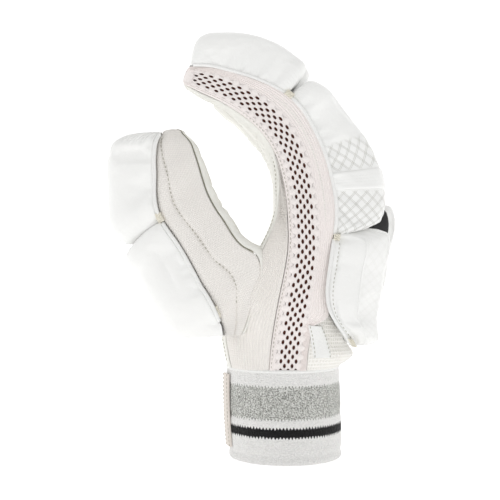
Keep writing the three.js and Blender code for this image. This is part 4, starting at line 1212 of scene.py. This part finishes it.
class Back(bpy.types.Operator):
    """Sews the cotton of the back, of the finger backs, of the outer side and between the fingers"""
    bl_idname = "glove.back"
    bl_label = "Back and sides"

    def execute(self, context):
        s = context.scene.glove_sizes
        form = form_of(context)
        hand, little = form.hand, form.fingers["little"]
        places = domed(150, 7)

        def far(v):
            return SEAMS["outer_back"] * hand.section(v)[1]

        def waffle(v, w):
            low = ramp(0.11, 0.03, v)
            return low * 0.0012 * np.sin(np.pi * np.clip(v / 0.1, 0, 1))

        parts = []
        for i, surface in enumerate(lobes(form, 1, form.near_back, far, SEAMS["finger_back"])):
            joined = (0 if i == 0 else PART["from"], 0 if i == 3 else PART["from"])
            width = s.finger_width * 1.5
            parts.append(sheet(surface, places, width, s.hand_reach, s.panel_wall, relief=waffle,
                               joined=joined))
        backs = [name + "_back" for name in FINGERS]
        finished(build("back_cloth", parts, ["waffle_cotton"]), "cotton", "back_panel", *backs)

        def side_of(limb, side):
            return side_surface(limb, side, lambda v: s.seam_gap - SEAMS["outer_palm"] * limb.section(v)[0],
                                lambda v: SEAMS["outer_back"] * limb.section(v)[1] - s.seam_gap)

        outer = blended(side_of(hand, 1), side_of(little, 1), PART["from"], PART["to"])
        part = sheet(outer, places, 0.022, s.hand_reach, s.panel_wall, step=0.0005)
        self.ribbed("outer_side_cloth", part, ["outer_side"])

        names = list(FINGERS)
        for i in range(3):
            strips = []
            for name, side in ((names[i], 1), (names[i + 1], -1)):
                limb = form.fingers[name]
                inner = side_surface(
                    limb, side,
                    lambda v: s.seam_gap - SEAMS["finger_palm"] * limb.section(v)[0],
                    lambda v: SEAMS["finger_back"] * limb.section(v)[1] - s.seam_gap)

                def parting(v, w, lift):
                    meet = (s.finger_gap / 2 - 0.0001) * (1 - ramp(0.492, 0.51, v))
                    return inner(v, w, lift) + np.stack([0 * meet, side * meet, 0 * meet], -1)

                where = places[places > 0.485]
                strips.append(sheet(parting, where, 0.014, s.hand_reach, 0.0009))
            piece = build(f"gusset_{i + 1}_cloth", strips, ["twill_cotton"])
            finished(piece, "cotton", f"fourchette_{i + 1}")
        return {"FINISHED"}

    def ribbed(self, name, part, nodes):
        s = bpy.context.scene.glove_sizes
        flat = build(name + "_flat", [part], ["ribbed_cotton"])
        piece = through(rib_tree(), flat.data, name, pitch=s.rib_pitch, depth=0.00025,
                        material=finish_of("ribbed_cotton"))
        bpy.data.objects.remove(flat)
        return finished(piece, "cotton", *nodes)


class RibPanel(bpy.types.Operator):
    """Knits the ribbed panel between the palm leather and the mesh"""
    bl_idname = "glove.rib_panel"
    bl_label = "Ribbed panel"

    def execute(self, context):
        s = context.scene.glove_sizes
        form = form_of(context)
        surface = side_surface(form.hand, -1, lambda v: s.seam_gap - form.near_palm(v),
                               lambda v: form.strip_low(v) - s.seam_gap)

        def soft(v, w):
            return 0.0005 * np.sin(v * 33 + 4 * w) * np.sin(np.pi * w)

        places = np.linspace(0, RIB["stop"], 130)
        part = sheet(surface, places, 0.028, s.hand_reach, s.panel_wall, step=0.00028, relief=soft)
        part = without(part, form.thumb)
        flat = build("rib_flat", [part], ["ribbed_cotton"])
        piece = through(rib_tree(), flat.data, "ribbed_panel", pitch=s.rib_pitch, depth=0.00028,
                        material=finish_of("ribbed_cotton"))
        bpy.data.objects.remove(flat)
        finished(piece, "cotton", "rib_panel")
        return {"FINISHED"}


class MeshStrip(bpy.types.Operator):
    """Knits the pierced mesh strip from one open cell, and lays it along the thumb side"""
    bl_idname = "glove.mesh_strip"
    bl_label = "Mesh strip"

    def execute(self, context):
        s = context.scene.glove_sizes
        form = form_of(context)
        rows = int(s.hand_reach / (2 * s.row_pitch))
        tree, work = lattice_tree(), bmesh.new()
        # The rows of three holes, the rows of two between them, and the closed cells at the ends of those.
        for closed, columns, wide, lead in ((0, 3, 1, 0), (0, 2, 1, 1), (1, 2, 3, 1)):
            grid = through(tree, self.cell(s, closed), "net_flat", columns=columns,
                           column_pitch=wide * s.hole_pitch, rows=rows, row_pitch=2 * s.row_pitch,
                           lead=lead * s.row_pitch, material=finish_of("mesh_yarn"))
            work.from_mesh(grid.data)
            bpy.data.objects.remove(grid)
        bmesh.ops.remove_doubles(work, verts=work.verts, dist=2e-5)
        mesh = bpy.data.meshes.new("mesh_net")
        work.to_mesh(mesh)
        work.free()
        mesh.materials.append(finish_of("mesh_yarn"))
        net = bpy.data.objects.new("mesh_net", mesh)
        context.scene.collection.objects.link(net)
        flat = np.zeros(len(mesh.vertices) * 3)
        mesh.vertices.foreach_get("co", flat)
        flat = flat.reshape(-1, 3)
        surface = side_surface(form.hand, -1, form.strip_low, form.strip_high)
        finger = side_surface(form.fingers["index"], -1, form.strip_low, form.strip_high)
        surface = blended(surface, finger, *TO_FINGER)
        v = np.clip(flat[:, 1] / s.hand_reach, 0, 1 + DOME * 0.995)
        w = 0.5 + flat[:, 0] / s.mesh_width
        mesh.vertices.foreach_set("co", surface(v, w, flat[:, 2]).ravel())
        mesh.update()
        mesh.polygons.foreach_set("use_smooth", np.ones(len(mesh.polygons), bool))
        finished(net, "netting", "mesh_strip")

        half = 1.5 * s.hole_pitch
        share = half / s.mesh_width
        places = domed(200, 7, 1.56)

        def under_pad(limb):
            """The mesh runs on round the corner to the foot of the pads, but not beside the cuff."""
            def high(v):
                back = 0.999 * limb.section(v)[1]
                low = form.strip_high(v)
                return low + np.maximum(back - low, 0) * ramp(*TO_PADS, v)
            return high

        def inner(v):
            """Where the net ends and each border starts."""
            low, high = form.strip_low(v), form.strip_high(v)
            return (low + high) / 2 - (high - low) * share, (low + high) / 2 + (high - low) * share

        tight = [squarer(limb) for limb in (form.hand, form.fingers["index"])]
        lows = [side_surface(limb, -1, form.strip_low, lambda v: inner(v)[0]) for limb in tight]
        highs = [side_surface(limb, -1, lambda v: inner(v)[1], under_pad(limb)) for limb in tight]
        low, high = blended(*lows, *TO_FINGER), blended(*highs, *TO_FINGER)

        parts = []
        for laid, width in ((low, s.mesh_width / 2 - half), (high, s.mesh_width / 2 - half + 0.008)):
            def ridges(v, w):
                return 0.0002 * np.cos(w * 2 * np.pi * round(width / RIDGE_PITCH)) - 0.0001

            parts.append(sheet(laid, places, width, s.hand_reach, s.mesh_wall, step=0.0003, relief=ridges))

        def tip(v, w, lift):
            return surface(v, w, lift - 0.0004)

        end = places[places > rows * 2 * s.row_pitch / s.hand_reach - 0.012]
        parts.append(sheet(tip, end, s.mesh_width, s.hand_reach, s.mesh_wall))
        finished(build("mesh_borders", parts, ["mesh_yarn"]), "netting")

        # A dark sheet under the mesh: painted shade that shows through the holes.
        def core(v, w, lift):
            return surface(v, 0.5 + (w - 0.5) * share * 2.1, lift - s.mesh_wall - 0.0004)

        inside = places[places < 0.99][::2]
        part = sheet(core, inside, 0.014, s.hand_reach, 0.0006)
        finished(build("mesh_core_layer", [part], ["mesh_core"]), "netting")
        return {"FINISHED"}

    def cell(self, s, closed):
        """One cell: six corners outside, raised yarn inside, and an oval hole unless it is closed."""
        p, r = s.hole_pitch / 2, s.row_pitch
        tall, low = r * 0.76, r * 0.24
        corners = [(0, tall), (p, low), (p, -low), (0, -tall), (-p, -low), (-p, low)]
        outer = []
        for a, b in zip(corners, corners[1:] + corners[:1]):
            outer += [a, ((a[0] + b[0]) / 2, (a[1] + b[1]) / 2)]
        outer = np.array(outer)
        angle = np.arctan2(outer[:, 1], outer[:, 0])
        hole = np.stack([s.hole_width / 2 * np.cos(angle), s.hole_length / 2 * np.sin(angle)], -1)
        wall = s.mesh_wall
        rings = [
            (outer, -wall), (hole * 1.05, -wall), (hole, -wall * 0.5), (hole, -0.0003), (hole * 1.12, 0.0),
            ((hole + outer) / 2, 0.00022), (outer, 0.0),
        ]
        if closed:
            rings = [(hole * 0.02, 0.0002), ((hole + outer) / 2, 0.00022), (outer, 0.0)]
        points = [(x, y, z) for ring, z in rings for x, y in ring]
        quads = []
        for k in range(len(rings) - 1):
            for j in range(12):
                a, b = k * 12 + j, k * 12 + (j + 1) % 12
                quads.append((a, b, b + 12, a + 12))
        mesh = bpy.data.meshes.new("cell")
        mesh.from_pydata(points, [], quads)
        # deep: how much of the painted shade each ring takes, all of it down in the hole.
        deep = [0, 0, 0] if closed else [1.0, 1.0, 1.0, 0.35, 0, 0, 0]
        layer = mesh.attributes.new("deep", "FLOAT", "POINT")
        layer.data.foreach_set("value", np.repeat(deep, 12).astype(np.float32))
        work = bmesh.new()
        work.from_mesh(mesh)
        if sum(f.normal.z for f in list(work.faces)[-12:]) < 0:
            bmesh.ops.reverse_faces(work, faces=work.faces)
        work.to_mesh(mesh)
        work.free()
        return mesh


def thumb_seam(v):
    """Where the second seam lies across the thumb's side panels."""
    return np.interp(v, THUMB_SEAM["along"], THUMB_SEAM["across"])


class Thumb(bpy.types.Operator):
    """Sews the thumb from its leather grip, its two side panels and its back"""
    bl_idname = "glove.thumb"
    bl_label = "Thumb"

    def execute(self, context):
        s = context.scene.glove_sizes
        form = form_of(context)
        limb = form.thumb
        places = domed(130, 8)

        def grip(v):
            return SEAMS["grip"] * limb.section(v)[0]

        def nail(v):
            return SEAMS["nail"] * limb.section(v)[1]

        def folds(v, w):
            wave = 0.0004 * np.sin(v * 38 + 4 * w)
            for place, deep, wide in THUMB_CREASES:
                wave = wave - deep * np.exp(-((v - place - 0.01 * w) / wide) ** 2) * np.sin(np.pi * w)
            return wave

        surface = face_surface(limb, -1, grip, grip)
        part = sheet(surface, places, 0.042, s.thumb_reach, s.panel_wall, relief=folds)
        piece = build("thumb_grip_skin", [without(part, form.hand)], ["soft_leather"])
        finished(piece, "palm_leather", "thumb_grip")
        part = sheet(face_surface(limb, 1, nail, nail), places, 0.03, s.thumb_reach, s.panel_wall)
        piece = build("thumb_back_cloth", [without(part, form.hand)], ["twill_cotton"])
        finished(piece, "cotton", "thumb_back")

        def puffed(v, w):
            puff = 0.0006 * np.sin(np.pi * w) ** 0.7
            seam = -0.0009 * np.exp(-((w - thumb_seam(v)) * 0.027 / 0.0009) ** 2)
            return puff + seam + 0.0005 * np.sin(v * 30 + 5 * w) * np.sin(np.pi * w)

        for name, side in (("near", -1), ("far", 1)):
            surface = side_surface(limb, side, lambda v: s.seam_gap - grip(v),
                                   lambda v: nail(v) - s.seam_gap)
            part = sheet(surface, places, 0.027, s.thumb_reach, s.panel_wall, step=0.0007, relief=puffed)
            piece = build(f"thumb_{name}_cloth", [without(part, form.hand)], ["twill_cotton"])
            finished(piece, "cotton", "thumb_side_" + name)
        return {"FINISHED"}


def finger_pads(form, name):
    """The three pads of a finger: on its tip, on its middle and on the hand."""
    s, f, limb = form.s, FINGERS[name], form.fingers[name]
    half = f["width"] * s.finger_width / 2 - PADS["inset"]
    above, tip = f["knuckle"] + PADS["gap"], PADS["joint"] + PADS["gap"]
    high = s.pad_rise * f["bulk"]
    return {
        "tip": Pad(limb, TIP_PAD, half, tip, PADS["top"], s.pad_rise, ROLL, s.seam_gap),
        "mid": Pad(limb, MID_PAD, half, above, PADS["joint"], s.pad_rise, ROLL, s.seam_gap),
        "hand": Pad(limb, HAND_PAD, half, PADS["foot"], f["knuckle"], high, BEVEL, s.seam_gap),
    }


def gathers(along, foot, deep):
    """Small pleats where the leather is gathered into its seam."""
    wave = np.sin(2 * np.pi * along / 0.0021 + 1.4 * np.sin(along / 0.0063))
    return deep * wave * np.exp(-foot / 0.0028)


def puckers(across, end, deep, reach=0.004):
    """Small pleats at a pad's ends."""
    return deep * np.sin(2 * np.pi * across / 0.0024 + np.sin(across / 0.005)) * np.exp(-end / reach)


def none_quilted(v, c):
    return 0 * v


def mid_quilted(v, c):
    """The mid pads are quilted past the knuckle, but not under the band."""
    start, end = BAND["from"], BAND["to"]
    band = ramp(start - 0.006, start - 0.002, v) * ramp(end + 0.006, end + 0.002, v)
    return ramp(QUILT_END, QUILT_END - 0.01, v) * (1 - band)


def hand_quilted(v, c):
    """The hand pads are lightly quilted on their tops, not on their sides."""
    return 0.22 * ramp(0.58, 0.54, np.abs(c))


QUILTING = {"tip": none_quilted, "mid": mid_quilted, "hand": hand_quilted, "thumb": none_quilted}


def diamonds(along, across, mask, s, deep):
    """Puffed diamonds between the pressed lines."""
    a = (across + 1.2 * along) / s.quilt
    b = (across - 1.2 * along) / s.quilt
    return mask * deep * (np.abs(np.sin(np.pi * a)) ** 0.6 * np.abs(np.sin(np.pi * b)) ** 0.6 - 0.5)


def tip_relief(s, v, c, along, across, foot, end):
    """Pleats on the sides of a tip pad."""
    pleats = 0.0006 * np.sin(2 * np.pi * along / 0.0045) * ramp(0.006, 0.0015, foot)
    pleats = pleats * ramp(0.9, 0.87, v) * ramp(0.8, 0.83, v)
    return pleats + gathers(along, foot, 0.0001) + puckers(across, end, 0.0002)


def mid_relief(s, v, c, along, across, foot, end):
    return (diamonds(along, across, mid_quilted(v, c), s, 0.0002)
            + gathers(along, foot, 0.00015) + puckers(across, end, 0.0002))


def hand_relief(s, v, c, along, across, foot, end):
    """Diamonds, a stitched flange round the foot and an edge between the side and the top."""
    flange = -0.0009 * np.exp(-((foot - 0.0046) / 0.0006) ** 2)
    ridge = 0.0006 * np.exp(-((np.abs(c) - 0.6) / 0.016) ** 2)
    return (diamonds(along, across, hand_quilted(v, c), s, 0.0004) + flange + ridge
            + gathers(along, foot, 0.0001) + puckers(across, end, 0.0002))


RELIEFS = {"tip": tip_relief, "mid": mid_relief, "hand": hand_relief}


class Pads(bpy.types.Operator):
    """Fills the leather pads, and lays the bands and the inset over them"""
    bl_idname = "glove.pads"
    bl_label = "Pads"

    def execute(self, context):
        s = context.scene.glove_sizes
        form = form_of(context)
        lines = {"welt": [], "seam": [], "binding": []}
        for name in FINGERS:
            pads = finger_pads(form, name)
            for kind, pad in pads.items():
                def relief(*spot):
                    return RELIEFS[kind](s, *spot)

                self.cover(pad, kind, f"{name}_{kind}", relief)
                self.edges(pad, kind, 0.004, lines)
            self.band(name, pads["mid"], s)
            if name == "middle":
                self.inset(pads["hand"])
        thumb = form.thumb
        half = s.thumb_width / 2 - PADS["inset"]
        rows = {
            "base": (THUMB_BASE_PAD, THUMB_PADS["foot"], THUMB_PADS["joint"]),
            "tip": (THUMB_TIP_PAD, THUMB_PADS["joint"] + THUMB_PADS["gap"], THUMB_PADS["top"]),
        }
        for kind, (profile, start, end) in rows.items():
            pad = Pad(thumb, profile, half, start, end, s.pad_rise, ROLL, s.seam_gap)

            def relief(v, c, along, across, foot, end):
                top = puckers(across, (1.0 - v) * thumb.reach, 0.0006, 0.006) if kind == "tip" else 0
                return top + gathers(along, foot, 0.0002) + puckers(across, end, 0.0002)

            self.cover(pad, "thumb", f"thumb_{kind}", relief)
            self.edges(pad, "thumb", 0.012, lines)
        corded("pad_welts", lines["welt"], s.piping, "leather_welt", "white_leather")
        corded("pad_bindings", lines["binding"], 0.0011, "leather_welt", "white_leather")
        stitched("pad_stitches", lines["seam"], "white_leather")
        return {"FINISHED"}

    def cover(self, pad, kind, name, relief):
        """Fills a pad and makes its finished cover."""
        pad.fill()
        fine, quick = PAD_STEPS[kind]
        part = pad.part(fine, relief, QUILTING[kind])
        finish = "quilted_leather" if kind in ("mid", "hand") else "smooth_leather"
        piece = build(name + "_cover", [part], [finish], sharp=75)
        finished(piece, "white_leather", name + "_pad")

    def edges(self, pad, kind, short, lines):
        """Adds the lines along both sides of a pad, which stop short of its ends."""
        v = np.linspace(pad.start + short, pad.end - short, 90)
        for side in (-1, 1):
            for use, across, lift in PAD_LINES[kind]:
                lines[use].append(pad.over(v, side * across + 0 * v, lift + 0 * v))

    def band(self, name, pad, s):
        """The ribbed band over a mid pad, from one foot over the top to the other."""
        def laid(v, w, lift):
            along = BAND["from"] + (BAND["to"] - BAND["from"]) * w
            return pad.over(along, -0.985 + 1.97 * v, lift + 0.0009)

        width = (BAND["to"] - BAND["from"]) * s.hand_reach
        part = sheet(laid, np.linspace(0, 1, 90), width, 0.07, 0.0007, step=0.0003)
        flat = build(name + "_band_flat", [part], ["smooth_leather"])
        piece = through(rib_tree(), flat.data, name + "_band_strip", pitch=0.0013, depth=0.00004,
                        material=finish_of("smooth_leather"))
        bpy.data.objects.remove(flat)
        finished(piece, "white_leather", name + "_band")

    def inset(self, pad):
        """The black leather let into the side of the middle finger's hand pad."""
        def laid(v, w, lift):
            place = INSET["from"] + (INSET["to"] - INSET["from"]) * v
            return pad.over(place, INSET["low"] + (INSET["high"] - INSET["low"]) * w, lift + 0.0007)

        part = sheet(laid, np.linspace(0, 1, 30), 0.014, 0.011, 0.0006)
        finished(build("knuckle_inset_skin", [part], ["black_leather"]), "black_leather", "knuckle_inset")


class Trim(bpy.types.Operator):
    """Sews the seams between the panels, the felt at the pads' corners and the blank tab"""
    bl_idname = "glove.trim"
    bl_label = "Seams and trim"

    def execute(self, context):
        s = context.scene.glove_sizes
        form = form_of(context)
        hand, thumb = form.hand, form.thumb

        def on_side(limb, side, height, v, lift):
            surface = side_surface(limb, side, height, lambda u: height(u) + 1e-5)
            return surface(v, 0 * v, lift + 0 * v)

        v = np.linspace(0.02, RIB["stop"], 120)
        leather_edge = on_side(hand, -1, lambda u: -form.near_palm(u) - 0.0016, v, 0.0002)
        clear = depth_inside(thumb, leather_edge) < 0
        u = np.linspace(0.01, 0.97, 200)
        index = form.fingers["index"]
        beside = [on_side(limb, -1, lambda x: form.strip_low(x) + 0.0011, u, 0.0002)
                  for limb in (hand, index)]
        share = ramp(*TO_FINGER, u)[:, None]
        mesh_edge = beside[0] * (1 - share) + beside[1] * share
        stitched("panel_seams", [leather_edge[clear], mesh_edge], "cotton")

        t = np.linspace(0.3, 1 + 0.9 * DOME, 130)
        grips = [on_side(thumb, side, lambda x: -SEAMS["grip"] * thumb.section(x)[0] + 0.0001, t, 0.0)
                 for side in (-1, 1)]
        rows = [grip[depth_inside(hand, grip) < 0.0005] for grip in grips]
        corded("thumb_grip_seam", rows, 0.00026, "seam_thread", "cotton")
        side = side_surface(thumb, -1, lambda x: s.seam_gap - SEAMS["grip"] * thumb.section(x)[0],
                            lambda x: SEAMS["nail"] * thumb.section(x)[1] - s.seam_gap)
        t = np.linspace(0.15, 0.97, 120)
        second = side(t, thumb_seam(t), 0.0001 + 0 * t)
        stitched("thumb_side_seam", [second[depth_inside(hand, second) < 0]], "cotton")

        tab = side_surface(hand, -1, lambda x: TAB["low"] * hand.section(x)[1],
                           lambda x: TAB["high"] * hand.section(x)[1])

        def laid(v, w, lift):
            place = TAB["from"] + (TAB["to"] - TAB["from"]) * v
            return tab(place, w, lift + 0.0012)

        part = sheet(laid, np.linspace(0, 1, 24), 0.0105, 0.017, 0.0008)
        finished(build("blank_tab", [part], ["satin_tape"]), "woven_tab", "label_tab")
        edges = [laid(np.linspace(0.06, 0.94, 20), side + np.zeros(20), 0.0001) for side in (0.1, 0.9)]
        stitched("tab_stitches", edges, "woven_tab")
        self.felt(form, s)
        return {"FINISHED"}

    def felt(self, form, s):
        """Cream felt shows between two pads and at the foot of the thumb's pad."""
        parts = []
        for which, start, end, low, high in FELT:
            limb = form.thumb if which == "thumb" else form.fingers[which]

            def laid(v, w, lift):
                place = start + (end - start) * v
                palm, back, half, corner = limb.section(place)
                d = back + s.seam_gap + (low + (high - low) * w) * s.pad_rise * 0.55
                inset = 0.0004 * np.sin(17 * v + 9 * w) - 0.0001
                return limb.at(place, -(half - inset + lift), d)

            parts.append(sheet(laid, np.linspace(0, 1, 10), 0.008, 0.006, 0.003))
        finished(build("felt_corners", parts, ["wool_felt"]), "white_leather")


class Stage(bpy.types.Operator):
    """Sets the pale floor, the soft lights and the camera of the photograph's view"""
    bl_idname = "glove.stage"
    bl_label = "Stage"

    def execute(self, context):
        scene = context.scene
        floor = bpy.data.meshes.new("floor")
        turns = np.linspace(0, np.pi / 2, 24)
        bend = [(0.9 + 1.2 * math.sin(turn), 1.2 - 1.2 * math.cos(turn)) for turn in turns]
        points = [(side, y, z) for y, z in [(-4, 0), *bend, (2.1, 5)] for side in (-5, 5)]
        quads = [(i, i + 1, i + 3, i + 2) for i in range(0, len(points) - 2, 2)]
        floor.from_pydata(points, [], quads)
        floor.polygons.foreach_set("use_smooth", np.ones(len(quads), bool))
        paint = bpy.data.materials.new("matt_paper")
        paint.use_nodes = True
        body = paint.node_tree.nodes["Principled BSDF"]
        body.inputs["Base Color"].default_value = (*scene.glove_colours.floor, 1)
        body.inputs["Roughness"].default_value = 0.9
        body.inputs["Emission Color"].default_value = (1, 1, 1, 1)
        body.inputs["Emission Strength"].default_value = 0.34
        floor.materials.append(paint)
        ground = bpy.data.objects.new("floor", floor)
        scene.collection.objects.link(ground)

        world = bpy.data.worlds.new("studio")
        world.use_nodes = True
        sky = world.node_tree.nodes["Background"]
        sky.inputs["Color"].default_value = (1, 1, 1, 1)
        path = add(world.node_tree, "ShaderNodeLightPath")
        bright = add(world.node_tree, "ShaderNodeMapRange", None, {
            0: path.outputs["Is Camera Ray"], 3: 0.76, 4: 1.0})
        world.node_tree.links.new(bright.outputs[0], sky.inputs["Strength"])
        scene.world = world
        for name, place, size, power in LAMPS:
            lamp = bpy.data.lights.new(name, "AREA")
            lamp.shape = "DISK"
            lamp.size = size
            lamp.energy = power
            light = bpy.data.objects.new(name, lamp)
            light.location = place
            aim = Vector((0, 0, 0.12)) - light.location
            light.rotation_euler = aim.to_track_quat("-Z", "Y").to_euler()
            scene.collection.objects.link(light)

        lens = bpy.data.cameras.new("camera")
        lens.sensor_width = 36
        lens.lens = 36 * 0.7 / 0.3
        camera = bpy.data.objects.new("camera", lens)
        camera.location = (-0.0195, -0.7, 0.123)
        camera.rotation_euler = (math.pi / 2, 0, 0)
        scene.collection.objects.link(camera)
        scene.camera = camera
        scene.view_settings.view_transform = "Standard"
        return {"FINISHED"}


PIECES = [Cuff, Palm, Back, RibPanel, MeshStrip, Thumb, Pads, Trim, Stage]


class GlovePanel(bpy.types.Panel):
    """Lists the glove's pieces in the order they are made"""
    bl_idname = "VIEW3D_PT_glove"
    bl_label = "Batting glove"
    bl_space_type = "VIEW_3D"
    bl_region_type = "UI"
    bl_category = "Glove"

    def draw(self, context):
        for piece in PIECES:
            self.layout.operator(piece.bl_idname)
        for group in (context.scene.glove_sizes, context.scene.glove_colours):
            for key in group.bl_rna.properties.keys():
                if key not in ("rna_type", "name"):
                    self.layout.prop(group, key)


CLASSES = [GloveSizes, GloveColours, *PIECES, GlovePanel]


def register():
    for kind in CLASSES:
        bpy.utils.register_class(kind)
    bpy.types.Scene.glove_sizes = bpy.props.PointerProperty(type=GloveSizes)
    bpy.types.Scene.glove_colours = bpy.props.PointerProperty(type=GloveColours)


def unregister():
    del bpy.types.Scene.glove_colours
    del bpy.types.Scene.glove_sizes
    for kind in reversed(CLASSES):
        bpy.utils.unregister_class(kind)


def main():
    register()
    for piece in PIECES:
        family, name = piece.bl_idname.split(".")
        getattr(getattr(bpy.ops, family), name)()


if __name__ == "__main__":
    main()
